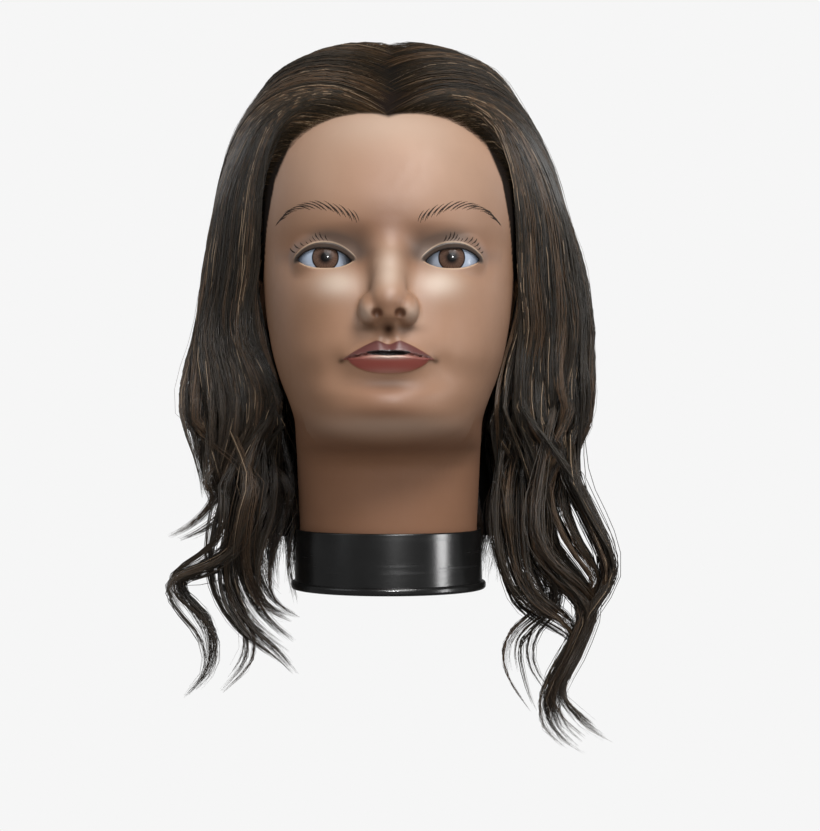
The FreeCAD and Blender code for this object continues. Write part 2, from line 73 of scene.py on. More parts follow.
# --- the hair's outlines, as (height, value) ----------------------------------------------------------
HAIR_WIDTH_RIGHT = [(0, 108.0), (30, 112.0), (52, 109.0), (72, 110.0), (98, 115.0), (124, 115.0),
                    (150, 113.5), (176, 108.0), (202, 99.5), (228, 92.0), (250, 82.0), (268, 70.5),
                    (282, 60.0), (290, 47.0), (295, 34.0), (299, 16.0), (301, 4.0)]
HAIR_WIDTH_LEFT = [(0, 102.0), (30, 104.0), (52, 108.0), (72, 113.0), (98, 114.0), (124, 111.0),
                   (150, 106.0), (176, 102.0), (202, 97.5), (228, 92.0), (250, 84.0), (268, 73.0),
                   (282, 62.0), (290, 49.0), (295, 37.0), (299, 18.0), (301, 4.0)]
HAIR_FRONT_LINE = [(0, -10.0), (30, -12.0), (60, -16.0), (100, -24.0), (124, -29.0), (150, -38.0),
                   (176, -48.0), (205, -62.0), (230, -69.0), (246, -72.5), (256, -68.0), (268, -56.0),
                   (282, -40.0), (290, -24.0), (295, -14.0), (299, -4.0), (301, 6.0)]
HAIR_BACK_LINE = [(0, 78.0), (30, 85.0), (60, 93.0), (100, 103.0), (140, 110.0), (180, 111.5),
                  (215, 108.0), (240, 100.0), (262, 85.0), (278, 63.0), (290, 46.0), (295, 34.0),
                  (300, 16.0)]
HAIR_CENTRE_Y = 12.0
# How near the innermost hair hangs to the neck and jaw, and x where the hair's front edge hangs.
INNER_WIDTH = [(0, 54.0), (40, 53.5), (80, 55.0), (110, 60.0), (140, 66.5), (165, 70.0), (205, 72.0)]
INNER_BACK = [(0, 58.0), (60, 62.0), (90, 69.0), (120, 80.0), (150, 90.0), (205, 95.0)]
FRONT_EDGE_LEFT = [(0, 55.0), (60, 56.0), (90, 56.0), (115, 61.0), (135, 71.0), (150, 72.0),
                   (170, 68.5), (190, 67.5), (205, 66.0)]
FRONT_EDGE_RIGHT = [(0, 80.0), (40, 76.0), (60, 74.0), (90, 71.0), (115, 70.0), (140, 71.5), (165, 68.5),
                    (190, 67.5), (205, 66.0)]

# --- face features ------------------------------------------------------------------------------------
EYE_X = 31.7
EYE_Y = -62.0
EYE_Z = 172.0
EYEBALL_RADIUS = 16.0
LID_THICKNESS = 1.7
EYE_HALF_WIDTH = 13.9
EYE_CORNER_RISE = 0.9  # how much higher the outer corner is than the inner one
EYE_CORNER_Z = -1.6  # the corners, from the eye's centre
UPPER_LID_RISE = 6.0
LOWER_LID_DROP = 3.9
LID_BAND = 2.9  # from the upper lid's edge up to its crease
IRIS_RADIUS = 6.8
PUPIL_RADIUS = 2.6

MOUTH_HALF_WIDTH = 23.6
MOUTH_LINE_Z = 123.4
MOUTH_CORNER_Z = 119.9
BOW_HALF_WIDTH = 6.1  # from the mid-plane to each peak of the upper lip
BOW_PEAK_Z = 129.4
BOW_DIP_Z = 127.6
LOWER_LIP_Z = 113.2
LIP_HEIGHT = 6.0  # how far the lips stand out of the face
MOUTH_GAP_Y = -101.0
MOUTH_GAP_HALF_WIDTH = 11.0

# Soft swellings and hollows of the face: x, z, width, height, how far forward. x is mirrored.
FACE_FORMS = [
    (0.0, 125.0, 19.0, 13.0, 2.0),  # the muzzle
    (0.0, 98.0, 14.0, 8.0, 3.2),  # the chin
    (0.0, 107.8, 12.0, 3.4, -2.6),  # the crease under the lower lip
    (26.0, 113.0, 9.0, 9.0, -0.6),  # beside the mouth
    (26.5, 119.0, 4.0, 5.0, -1.3),  # the dimples at the mouth's corners
    (31.0, 157.0, 14.0, 8.5, 3.0),  # the cheeks
    (32.0, 146.0, 14.0, 9.0, 1.2),
    (19.0, 137.0, 6.0, 9.0, -0.9),  # from the nose to the mouth
    (0.0, 133.0, 2.0, 4.5, -1.2),  # the groove under the nose
    (4.0, 131.5, 1.6, 4.5, 0.5),  # its two ridges
    (17.5, 175.0, 6.5, 7.0, -2.6),  # the inner corners of the sockets
    (33.0, 173.5, 12.0, 7.0, -2.4),  # the sockets
    (30.0, 189.0, 16.0, 7.0, 0.5),  # the brows
    (0.0, 193.0, 10.0, 8.0, 0.3),  # between the brows
    (26.0, 222.0, 18.0, 14.0, 1.0),  # the forehead
]
NOSE_ROOT = (0.0, -76.0, 184.0, 7.5)  # x, y, z, radius
NOSE_MID = (0.0, -88.0, 166.0, 7.8)
NOSE_TIP = (0.0, -101.5, 149.5, 8.8)
NOSE_WING = (9.2, -95.5, 144.6)
NOSE_WING_RADII = (5.8, 10.5, 7.6)
NOSTRIL = (5.7, -107.0, 141.8)
NOSTRIL_RADII = (2.6, 5.0, 2.4)
SEPTUM = ((0.0, -103.0, 143.0, 4.2), (0.0, -95.5, 138.0, 3.8))

EAR = (69.5, 8.0, 163.0)
EAR_RADII = (5.0, 14.0, 26.0)
EAR_TILT = math.radians(12.0)

# How widely each feature runs into the face.
NOSE_BLEND = 9.0
WING_BLEND = 3.2
EAR_BLEND = 3.0
LID_BLEND = 2.6


# --- maths helpers ------------------------------------------------------------------------------------
def curve(table):
    """A smooth function through a (position, value) table, for arrays."""
    xs, ys = np.array(table, float).T
    slopes = np.gradient(ys, xs)
    fine = np.linspace(xs[0], xs[-1], 1500)
    span = np.clip(np.searchsorted(xs, fine, side="right") - 1, 0, len(xs) - 2)
    step = xs[span + 1] - xs[span]
    t = (fine - xs[span]) / step
    values = (ys[span] * (2 * t**3 - 3 * t**2 + 1) + slopes[span] * step * (t**3 - 2 * t**2 + t)
              + ys[span + 1] * (3 * t**2 - 2 * t**3) + slopes[span + 1] * step * (t**3 - t**2))
    return lambda z: np.interp(z, fine, values)


def smoothstep(low, high, value):
    """0 at low, 1 at high and beyond, smooth between them; low may be the larger."""
    t = np.clip((value - low) / (high - low), 0.0, 1.0)
    return t * t * (3 - 2 * t)


def smooth_union(a, b, blend):
    """The union of two fields, with a fillet of about the blend's size."""
    h = np.clip(0.5 + 0.5 * (b - a) / blend, 0.0, 1.0)
    return b + (a - b) * h - blend * h * (1 - h)


def smooth_cut(solid, hole, blend):
    return -smooth_union(-solid, hole, blend)


def unit(vectors):
    return vectors / np.linalg.norm(vectors, axis=-1, keepdims=True)


def round_cone(x, y, z, start, end):
    """Signed distance to a bar whose radius changes from one end to the other."""
    a, b = np.array(start[:3]), np.array(end[:3])
    axis = b - a
    t = ((x - a[0]) * axis[0] + (y - a[1]) * axis[1] + (z - a[2]) * axis[2]) / axis.dot(axis)
    t = np.clip(t, 0.0, 1.0)
    gap = np.sqrt((x - a[0] - t * axis[0])**2 + (y - a[1] - t * axis[1])**2 + (z - a[2] - t * axis[2])**2)
    return gap - (start[3] + (end[3] - start[3]) * t)


def ellipsoid(x, y, z, centre, radii):
    """Close to the signed distance to an ellipsoid."""
    u, v, w = (x - centre[0]) / radii[0], (y - centre[1]) / radii[1], (z - centre[2]) / radii[2]
    k0 = np.sqrt(u * u + v * v + w * w) + 1e-6
    k1 = np.sqrt((u / radii[0])**2 + (v / radii[1])**2 + (w / radii[2])**2) + 1e-6
    return k0 * (k0 - 1.0) / k1


def bump(x, z, form):
    """A soft hill at (x, z) and its mirror image, or one hill on the mid-plane."""
    cx, cz, sx, sz, height = form
    across = np.exp(-0.5 * ((x - cx) / sx)**2)
    if cx > 0:
        across = across + np.exp(-0.5 * ((x + cx) / sx)**2)
    return height * across * np.exp(-0.5 * ((z - cz) / sz)**2)


# --- the head as a field ------------------------------------------------------------------------------
face_line, back_line = curve(FACE_LINE), curve(BACK_LINE)
half_width, centre_line = curve(HALF_WIDTH), curve(CENTRE_LINE)
face_fullness = curve(FACE_FULLNESS)


def slope_of(line, z):
    return line(z + 0.5) - line(z - 0.5)


def skull_field(x, y, z):
    """Close to the signed distance to the bare head: a round shape at every height."""
    centre = centre_line(z)
    across = np.maximum(half_width(z), 1.0)
    in_front = y < centre
    along = np.where(in_front, centre - face_line(z), back_line(z) - centre)
    power = np.where(in_front, face_fullness(z), 2.0)
    u, v = np.abs(x) / across, np.abs(y - centre) / np.maximum(along, 1.0)
    size = (u**power + v**power) ** (1 / power) + 1e-6
    reach = np.sqrt(x**2 + (y - centre)**2) + 1e-6
    side_share = x**2 / reach**2
    lean_along = np.where(in_front, -slope_of(face_line, z), slope_of(back_line, z))
    lean = slope_of(half_width, z) * side_share + lean_along * (1 - side_share)
    level = reach * (1 - 1 / size) / np.sqrt(1 + lean**2)
    return np.maximum(level, z - HEAD_TOP)


def lip_lines(x):
    """Heights of the upper lip's top, the line between the lips, and the lower lip's foot, at x."""
    a = np.clip(np.abs(x) / MOUTH_HALF_WIDTH, 0, 1)
    peak = BOW_HALF_WIDTH / MOUTH_HALF_WIDTH
    outer = np.clip((a - peak) / (1 - peak), 0, 1)
    falling = BOW_PEAK_Z - (BOW_PEAK_Z - MOUTH_CORNER_Z) * (0.72 * outer + 0.28 * outer**2)
    dip = BOW_DIP_Z + (BOW_PEAK_Z - BOW_DIP_Z) * np.sin(np.clip(a / peak, 0, 1) * math.pi / 2)**2
    top = np.where(a < peak, dip, falling)
    line = MOUTH_LINE_Z - (MOUTH_LINE_Z - MOUTH_CORNER_Z) * a**1.6 - 0.5 * np.exp(-(a / 0.12)**2)
    rounded = 1 - (1 - np.clip(a / 0.84, 0, 1)**2.4)**0.72
    foot = LOWER_LIP_Z + (MOUTH_CORNER_Z - LOWER_LIP_Z) * rounded
    return top, line, foot


def lip_relief(x, z):
    """How far the lips stand forward at (x, z), and how deep inside their outline that is."""
    top, line, foot = lip_lines(x)
    fade = (1 - np.clip(np.abs(x) / MOUTH_HALF_WIDTH, 0, 1)**2.4)**0.7
    up = np.clip((z - line) / np.maximum(top - line, 0.3), 0, 1)
    down = np.clip((line - z) / np.maximum(line - foot, 0.3), 0, 1)
    upper = 0.8 * (1 - up)**0.75 * np.clip(up / 0.16, 0, 1)**0.5 + 0.12 * up**2
    lower = 1.02 * (1 - down)**0.62 * np.clip(down / 0.2, 0, 1)**0.5
    over_lip = 0.12 * np.exp(-((z - top) / 1.6)**2)
    shape = np.where(z > top, over_lip, np.where(z > line, upper, lower))
    depth = np.where(z > line, top - z, z - foot)
    depth = np.minimum(depth, (MOUTH_HALF_WIDTH - np.abs(x)) * 0.5)
    return LIP_HEIGHT * fade * shape, depth


def face_relief(x, z):
    total = sum(bump(x, z, form) for form in FACE_FORMS)
    return total + lip_relief(x, z)[0]


def eye_edges(u):
    """Heights of the upper and lower lids' edges from the eye's centre, at -1 (inner) to 1 (outer)."""
    u = np.clip(u, -1, 1)
    corner = EYE_CORNER_Z + EYE_CORNER_RISE * 0.5 * u
    upper = corner + UPPER_LID_RISE * (1 - np.abs(u - 0.05)**2.3).clip(0, 1)**0.85
    lower = corner - LOWER_LID_DROP * (1 - np.abs(u)**2.6).clip(0, 1)**0.9
    return upper, lower


def eye_opening(x, z):
    """Distance outside the almond between the lids, negative inside, as seen from the front."""
    u = (np.abs(x) - EYE_X) / EYE_HALF_WIDTH
    upper, lower = eye_edges(u)
    rise = z - EYE_Z
    beyond = np.maximum(np.abs(u) - 1, 0) * EYE_HALF_WIDTH
    vertical = np.maximum(rise - upper, lower - rise)
    return np.where(beyond > 0, np.hypot(beyond, np.maximum(vertical, 0)), vertical)


def lid_crease(x, z):
    """Height above the upper lid's crease, and how strong the crease is at x."""
    u = (np.abs(x) - EYE_X) / EYE_HALF_WIDTH
    wide = np.clip(np.abs(u - 0.03) / 1.2, 0, 1)
    height = EYE_CORNER_Z + EYE_CORNER_RISE * 0.5 * u + (UPPER_LID_RISE + LID_BAND) * (1 - wide**2.2)**0.9
    return z - EYE_Z - height, 1 - smoothstep(1.04, 1.2, np.abs(u - 0.03))


def nose_fields(x, y, z):
    """The nose's ridge with its septum, and its two wings."""
    bridge = smooth_union(round_cone(x, y, z, NOSE_ROOT, NOSE_MID),
                          round_cone(x, y, z, NOSE_MID, NOSE_TIP), 4.0)
    wing = ellipsoid(np.abs(x), y, z, NOSE_WING, NOSE_WING_RADII)
    septum = round_cone(x, y, z, *SEPTUM)
    return smooth_union(bridge, septum, 3.0), wing


def ear_field(x, y, z):
    """One flat, tilted ear to each side, hollowed on its outer face."""
    dy, dz = y - EAR[1], z - EAR[2]
    along = dy * math.cos(EAR_TILT) + dz * math.sin(EAR_TILT)
    up = dz * math.cos(EAR_TILT) - dy * math.sin(EAR_TILT)
    narrow = 1 + 0.012 * np.clip(-up, 0, 30)
    out = np.abs(x) - EAR[0]
    body = ellipsoid(out, along * narrow, up, (0, 0, 0), EAR_RADII)
    bowl = ellipsoid(out, along, up, (6.5, -1.0, 3.0), (4.6, 8.5, 15.0))
    return smooth_cut(body, bowl, 1.5)


def bare_face_field(x, y, z):
    """The skull with the soft forms of the face, but no nose, ears or lids."""
    in_front = smoothstep(-28.0, -52.0, y)
    return skull_field(x, y + face_relief(x, z) * in_front, z)


def from_eye_centre(x, y, z):
    return np.sqrt((np.abs(x) - EYE_X)**2 + (y - EYE_Y)**2 + (z - EYE_Z)**2)


def nostril_field(x, y, z):
    return ellipsoid(np.abs(x), y, z, NOSTRIL, NOSTRIL_RADII)


def head_field(x, y, z):
    """Close to the signed distance to the whole head, in millimetres; negative inside."""
    ridge, wing = nose_fields(x, y, z)
    field = smooth_union(bare_face_field(x, y, z), ridge, NOSE_BLEND)
    field = smooth_union(field, wing, WING_BLEND)
    field = smooth_union(field, ear_field(x, y, z), EAR_BLEND)
    from_eye = from_eye_centre(x, y, z)
    over_crease, fade = lid_crease(x, z)
    crease = np.exp(-(over_crease / 0.5)**2) * 0.5 * fade
    field = smooth_union(field, from_eye - EYEBALL_RADIUS - LID_THICKNESS + crease, LID_BLEND)
    opening = np.maximum(eye_opening(x, z), y - EYE_Y + 4.0)
    field = smooth_cut(field, opening, 0.5)
    field = np.maximum(field, -(from_eye - EYEBALL_RADIUS - 0.05))
    field = smooth_cut(field, nostril_field(x, y, z), 1.2)
    gap_z = lip_lines(x)[1] - 0.2
    gap = ellipsoid(x, y, z, (0, MOUTH_GAP_Y, gap_z), (MOUTH_GAP_HALF_WIDTH, 6.0, 1.0))
    field = smooth_cut(field, gap, 0.5)
    return np.maximum(field, SKIN_BOTTOM - z)


# --- meshes -------------------------------------------------------------------------------------------
def graded_axis(*stretches):
    """Grid positions from (start, end, step) stretches that follow each other."""
    pieces = [np.arange(start, end, step) for start, end, step in stretches]
    return np.concatenate(pieces + [[stretches[-1][1]]])


def surface_net(axes, field):
    """The field's zero surface as points and quads: one point in each grid cell that it crosses."""
    inside = field < 0
    cells = np.array(field.shape) - 1
    stride = np.array([cells[1] * cells[2], cells[2], 1])
    sums, owners, quads, flips = [], [], [], []
    for axis in range(3):
        second, third = (axis + 1) % 3, (axis + 2) % 3
        low = [slice(1, -1)] * 3
        high = [slice(1, -1)] * 3
        low[axis], high[axis] = slice(0, -1), slice(1, None)
        low, high = tuple(low), tuple(high)
        crossing = np.argwhere(inside[low] != inside[high])
        offset = np.ones(3, int)
        offset[axis] = 0
        at = crossing + offset
        beyond = at.copy()
        beyond[:, axis] += 1
        value, next_value = field[tuple(at.T)], field[tuple(beyond.T)]
        share = value / (value - next_value)
        point = np.stack([axes[i][at[:, i]] for i in range(3)], 1)
        point[:, axis] += share * (axes[axis][beyond[:, axis]] - axes[axis][at[:, axis]])
        corners = []
        for du, dv in ((-1, -1), (0, -1), (0, 0), (-1, 0)):
            cell = at.copy()
            cell[:, second] += du
            cell[:, third] += dv
            corners.append(cell @ stride)
            sums.append(point)
            owners.append(corners[-1])
        quads.append(np.stack(corners, 1))
        flips.append(value > 0)
    quads, flips = np.concatenate(quads), np.concatenate(flips)
    quads[flips] = quads[flips][:, ::-1]
    ids, inverse = np.unique(np.concatenate(owners), return_inverse=True)
    sums = np.concatenate(sums)
    count = np.bincount(inverse)
    points = np.stack([np.bincount(inverse, sums[:, i]) / count for i in range(3)], 1)
    return points, np.searchsorted(ids, quads)


def settle(points, field, rounds=2, step=0.15, limit=0.6):
    """Moves points onto the field's zero surface."""
    for _ in range(rounds):
        value = field(*points.T)
        slope = np.stack([(field(*(points + d).T) - field(*(points - d).T)) / (2 * step)
                          for d in np.eye(3) * step], 1)
        move = -value[:, None] * slope / np.maximum((slope**2).sum(1), 0.2)[:, None]
        length = np.linalg.norm(move, axis=1, keepdims=True)
        points = points + move * np.minimum(1.0, limit / np.maximum(length, 1e-6))
    return points


def make_mesh(name, points, faces, smooth=True):
    """A Blender object from points in millimetres and a list of face arrays."""
    mesh = bpy.data.meshes.new(name)
    sizes = np.concatenate([np.full(len(group), group.shape[1]) for group in faces])
    corners = np.concatenate([group.ravel() for group in faces])
    starts = np.concatenate([[0], np.cumsum(sizes)[:-1]])
    mesh.vertices.add(len(points))
    mesh.vertices.foreach_set("co", (np.asarray(points) * MM).astype(np.float32).ravel())
    mesh.loops.add(len(corners))
    mesh.loops.foreach_set("vertex_index", corners.astype(np.int32))
    mesh.polygons.add(len(sizes))
    mesh.polygons.foreach_set("loop_start", starts.astype(np.int32))
    mesh.polygons.foreach_set("loop_total", sizes.astype(np.int32))
    mesh.update(calc_edges=True)
    if smooth:
        mesh.shade_smooth()
    obj = bpy.data.objects.new(name, mesh)
    bpy.context.scene.collection.objects.link(obj)
    return obj


def tubes(corners):
    """Points and faces of closed three-sided tubes, from corners shaped (tubes, points along, 3, 3)."""
    count, length = corners.shape[:2]
    first = np.arange(count) * length * 3
    base = first[:, None, None] + (np.arange(length - 1) * 3)[None, :, None]
    j, k = np.arange(3), (np.arange(3) + 1) % 3
    quads = np.stack([base + j, base + 3 + j, base + 3 + k, base + k], -1).reshape(-1, 4)
    start = first[:, None] + np.arange(3)
    caps = np.concatenate([start, start[:, ::-1] + (length - 1) * 3])
    return corners.reshape(-1, 3), [quads, caps]


def closed_shell(outer, inner, ring=False):
    """Points and faces of a thin body between two matching grids of points; a ring's rows close up."""
    index = np.arange(outer[..., 0].size).reshape(outer.shape[:2])
    count = index.size
    if ring:
        index = np.hstack([index, index[:, :1]])
    a, b, c, d = index[:-1, :-1], index[1:, :-1], index[1:, 1:], index[:-1, 1:]
    sheet = np.stack([a, b, c, d], -1).reshape(-1, 4)
    faces = [sheet, sheet[:, ::-1] + count]
    edges = [index[0], index[-1][::-1]]
    if not ring:
        edges += [index[::-1, 0], index[:, -1]]
    for edge in edges:
        faces.append(np.stack([edge[:-1], edge[1:], edge[1:] + count, edge[:-1] + count], 1))
    return np.concatenate([outer.reshape(-1, 3), inner.reshape(-1, 3)]), faces


def add_attributes(obj, values_by_name):
    """Numbers at the mesh's points, for its material."""
    for name, values in values_by_name.items():
        attribute = obj.data.attributes.new(name, "FLOAT", "POINT")
        attribute.data.foreach_set("value", np.asarray(values, np.float32))


# --- material helpers ---------------------------------------------------------------------------------
def linear(red, green, blue):
    """A colour given as 0-255 sRGB, as the shader wants it."""
    def one(value):
        value /= 255
        return value / 12.92 if value <= 0.04045 else ((value + 0.055) / 1.055) ** 2.4
    return one(red), one(green), one(blue), 1.0


class Nodes:
    """A short way to build one material's node tree."""

    def __init__(self, name):
        self.material = bpy.data.materials.new(name)
        self.material.use_nodes = True
        self.tree = self.material.node_tree
        self.shader = self.tree.nodes["Principled BSDF"]

    def new(self, kind, inputs=None, **settings):
        node = self.tree.nodes.new(kind)
        for key, value in settings.items():
            setattr(node, key, value)
        for key, value in (inputs or {}).items():
            self.put(node.inputs[key], value)
        return node

    def put(self, socket, value):
        if isinstance(value, bpy.types.NodeSocket):
            self.tree.links.new(value, socket)
        else:
            socket.default_value = value

    def set(self, name, value):
        self.put(self.shader.inputs[name], value)

    def attribute(self, name):
        return self.new("ShaderNodeAttribute", attribute_name=name).outputs["Fac"]

    def noise(self, scale, detail=3.0, vector=None):
        node = self.new("ShaderNodeTexNoise", {"Scale": scale, "Detail": detail})
        self.put(node.inputs["Vector"], vector or self.position())
        return node.outputs["Fac"]

    def position(self):
        return self.new("ShaderNodeTexCoord").outputs["Object"]

    def ramp(self, value, low, high, from_value=0.0, to_value=1.0):
        node = self.new("ShaderNodeMapRange", {"Value": value, "From Min": low, "From Max": high,
                                               "To Min": from_value, "To Max": to_value})
        return node.outputs["Result"]

    def math(self, operation, a, b=0.0):
        node = self.new("ShaderNodeMath", operation=operation)
        self.put(node.inputs[0], a)
        self.put(node.inputs[1], b)
        return node.outputs[0]

    def times(self, a, b):
        return self.math("MULTIPLY", a, b)

    def highest(self, first, *others):
        for other in others:
            first = self.math("MAXIMUM", first, other)
        return first

    def mix(self, factor, a, b):
        node = self.new("ShaderNodeMix", data_type="RGBA")
        self.put(node.inputs["Factor"], factor)
        self.put(node.inputs["A"], a)
        self.put(node.inputs["B"], b)
        return node.outputs["Result"]

    def layers(self, colour, layers):
        """A colour with others laid over it, each as (mask, colour)."""
        for mask, over in layers:
            colour = self.mix(mask, colour, over)
        return colour

    def bump(self, height, strength, distance):
        node = self.new("ShaderNodeBump", {"Height": height, "Strength": strength, "Distance": distance})
        self.set("Normal", node.outputs["Normal"])


# --- the head's skin ----------------------------------------------------------------------------------
FOAM_LIGHT = linear(226, 210, 172)
FOAM_DARK = linear(205, 186, 146)
SKIN_COLOUR = linear(162, 121, 93)
SKIN_DARK = linear(152, 112, 84)
# The neck's darker tone is painted shade under the chin and jaw.
NECK_SHADE_COLOUR = linear(116, 80, 58)
HIGHLIGHT_COLOUR = linear(204, 186, 170)
# Warm brown, for make-up tones and for painted shade.
WARM_AND_SHADE_COLOUR = linear(128, 84, 56)
SHADE_COLOUR = linear(52, 34, 24)
# Painted patches as (x, z, width, height, strength); x is mirrored. They are painted highlights, warm
# tones with painted shade, painted shadows, and a painted highlight with a paler band on the lower lip.
# Painted highlights where light falls: cheeks, nose bridge, forehead, nose wings and under the chin.
PAINT_LIGHT = [(25.5, 158.5, 8.0, 5.0, 0.75), (0.0, 167.5, 4.6, 8.0, 0.52), (0.0, 240.0, 30.0, 11.0, 0.42),
               (11.5, 142.0, 3.0, 3.2, 0.4), (36.0, 214.0, 15.0, 15.0, 0.18), (0.0, 87.5, 26.0, 4.0, 0.3),
               (0.0, 158.0, 3.4, 4.5, 0.3)]
# Warm make-up tones beside the eyes and nose, and painted shade on the glabella, nose tip, chin, the chin's
# lower edge and mid-forehead.
PAINT_WARM_AND_SHADE = [(15.0, 170.0, 4.0, 10.0, 0.2), (24.0, 186.0, 14.0, 4.0, 0.15), (47.0, 176.0, 5.0, 5.0, 0.45),
              (0.0, 189.0, 9.0, 9.0, 0.58), (0.0, 94.0, 15.0, 2.0, 0.35), (0.0, 147.5, 7.0, 4.0, 0.4),
              (0.0, 102.0, 13.0, 6.0, 0.6), (0.0, 212.0, 14.0, 9.0, 0.15)]
# Painted shadows under the nose and its wings, under the lower lip, at the mouth's corners and by the inner
# eye corners.
PAINT_SHADE = [(0.0, 134.6, 2.2, 2.4, 0.9), (0.0, 107.6, 10.5, 2.2, 0.5), (9.5, 135.4, 4.5, 1.5, 0.6),
               (23.4, 119.5, 1.2, 0.9, 0.75), (16.5, 121.3, 4.0, 0.8, 0.6), (14.6, 174.5, 2.6, 3.5, 0.32)]
# A painted highlight along the top of the lower lip, and a paler band at its foot.
PAINT_LIP_LIGHT = [(0.0, 121.3, 7.5, 0.9, 0.85), (0.0, 113.2, 12.0, 1.6, 0.3)]
LIP_RED = linear(160, 78, 68)
LIP_MAUVE = linear(98, 54, 50)
LINER_COLOUR = linear(38, 29, 24)
LID_COLOUR = linear(60, 47, 39)
# Light for the crease's ridge, part make-up and part painted highlight, and for the lower lid's rim, a
# painted highlight.
LID_RIDGE_HIGHLIGHT = linear(188, 162, 136)
EYESHADOW_COLOUR = linear(92, 77, 68)
# Painted shade inside the gap between the lips.
MOUTH_GAP_SHADE = linear(14, 8, 8)
# Painted shade in the nostril hollows.
NOSTRIL_SHADE_COLOUR = linear(96, 58, 40)
SCALP_COLOUR = linear(30, 23, 19)  # the roots' shadow on the scalp
# The hairline: its height at each distance from the mid-plane, and behind the temples at each y.
FRONT_HAIRLINE = [(0, 243.6), (8, 246.4), (22, 249.5), (36, 246.5), (50, 233), (58.5, 214), (63.5, 190),
                  (67, 160), (72, 150)]
BACK_HAIRLINE = [(-20, 165), (-10, 165), (10, 175), (25, 150), (52, 125), (70, 108), (76, 98)]
TEMPLE_Y = -15.0
FOAM_DEPTH = 3.6  # below the outside of the skin
FOAM_FOOT = 92.5
FOAM_EYE_GAP = 4.0
FINE_STEP = 0.7  # between the grid's points over the face
SLABS = 24  # parts of the grid that are worked out one after the other


def scalp_share(x, y, z):
    """1 where hair grows, 0 on the face and neck."""
    front = np.interp(np.abs(x), *np.transpose(FRONT_HAIRLINE))
    behind = np.interp(y, *np.transpose(BACK_HAIRLINE))
    return smoothstep(-1.2, 1.6, z - np.where(y < TEMPLE_Y, front, behind))


def make_foam():
    """The foam core inside the skin, which keeps clear of the eyes."""
    axes = [np.arange(-72, 72.1, 3.0), np.arange(-95, 97.1, 3.0), np.arange(91, 287, 3.0)]
    x, y, z = np.ix_(*axes)
    clear_of_eyes = EYEBALL_RADIUS + FOAM_EYE_GAP - from_eye_centre(x, y, z)
    field = np.maximum(bare_face_field(x, y, z) + FOAM_DEPTH, clear_of_eyes)
    points, quads = surface_net(axes, np.maximum(field, FOAM_FOOT - z))
    foam = make_mesh("skull_foam_core", points, [quads])
    foam.data.materials.append(plain_material("foam_core", FOAM_LIGHT, FOAM_DARK, 0.9, 300.0))
    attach(foam, "head")
    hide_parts("skull_foam")


def make_skin():
    """The vinyl head in one piece, on a grid that is finest over the face."""
    axes = [graded_axis((-80, -62, 2.0), (-62, 62, FINE_STEP), (62, 80, 2.0)),
            graded_axis((-118, -62, 0.8), (-62, 98, 2.2)),
            graded_axis((0.5, 88, 2.4), (88, 202, FINE_STEP), (202, 288, 1.8))]
    x, y = axes[0][:, None, None], axes[1][None, :, None]
    slabs = [head_field(x, y, levels[None, None, :]) for levels in np.array_split(axes[2], SLABS)]
    points, quads = surface_net(axes, np.concatenate(slabs, 2))
    points = settle(points, head_field)
    skin = make_mesh("head_skin_vinyl", points, [quads])
    add_attributes(skin, skin_masks(*points.T))
    skin.data.materials.append(skin_material())
    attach(skin, "head")
    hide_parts("head_skin")
    return skin


def skin_masks(x, y, z):
    """Where each tone and each painted line goes, at the skin's points."""
    in_front = y < -50
    over_crease, fade = lid_crease(x, z)
    nose_side = np.exp(-0.5 * (((np.abs(x) - 18.3) / 6.5)**2 + ((z - 176.8) / 6.0)**2))
    over_lid = np.exp(-0.5 * (((np.abs(x) - 33.0) / 14.0)**2 + ((over_crease - 3.0) / 2.6)**2))
    gap_centre = (0, MOUTH_GAP_Y, MOUTH_LINE_Z - 0.2)
    masks = {
        "from_eye": np.where(in_front, eye_opening(x, z), 40.0),
        "above_eye": z - EYE_Z - EYE_CORNER_Z,
        "over_crease": np.where(in_front, over_crease, 40.0),
        "crease_fade": fade,
        "eyeshadow": np.where(in_front, np.clip(nose_side + over_lid, 0, 1), 0.0),
        "scalp": scalp_share(x, y, z),
        # Below the jaw line, where the neck's darker tone paints the shade under the chin.
        "neck": smoothstep(3.0, -7.0, z - 83.0 - 15.0 * (x / 50)**2),
        "lip_depth": np.where(in_front & (y < -85), lip_relief(x, z)[1], -20.0),
        "lip_height": z - lip_lines(x)[1],
        "nostril": nostril_field(x, y, z),
        "mouth_gap": ellipsoid(x, y, z, gap_centre, (MOUTH_GAP_HALF_WIDTH, 7.0, 1.0)),
    }
    for name, patches in (("paint_light", PAINT_LIGHT), ("paint_shade", PAINT_SHADE),
                          ("paint_warm_and_shade", PAINT_WARM_AND_SHADE), ("paint_lip_light", PAINT_LIP_LIGHT)):
        amount = sum(bump(x, z, patch) for patch in patches)
        masks[name] = np.where(in_front, np.clip(amount, 0, 1), 0.0)
    return masks


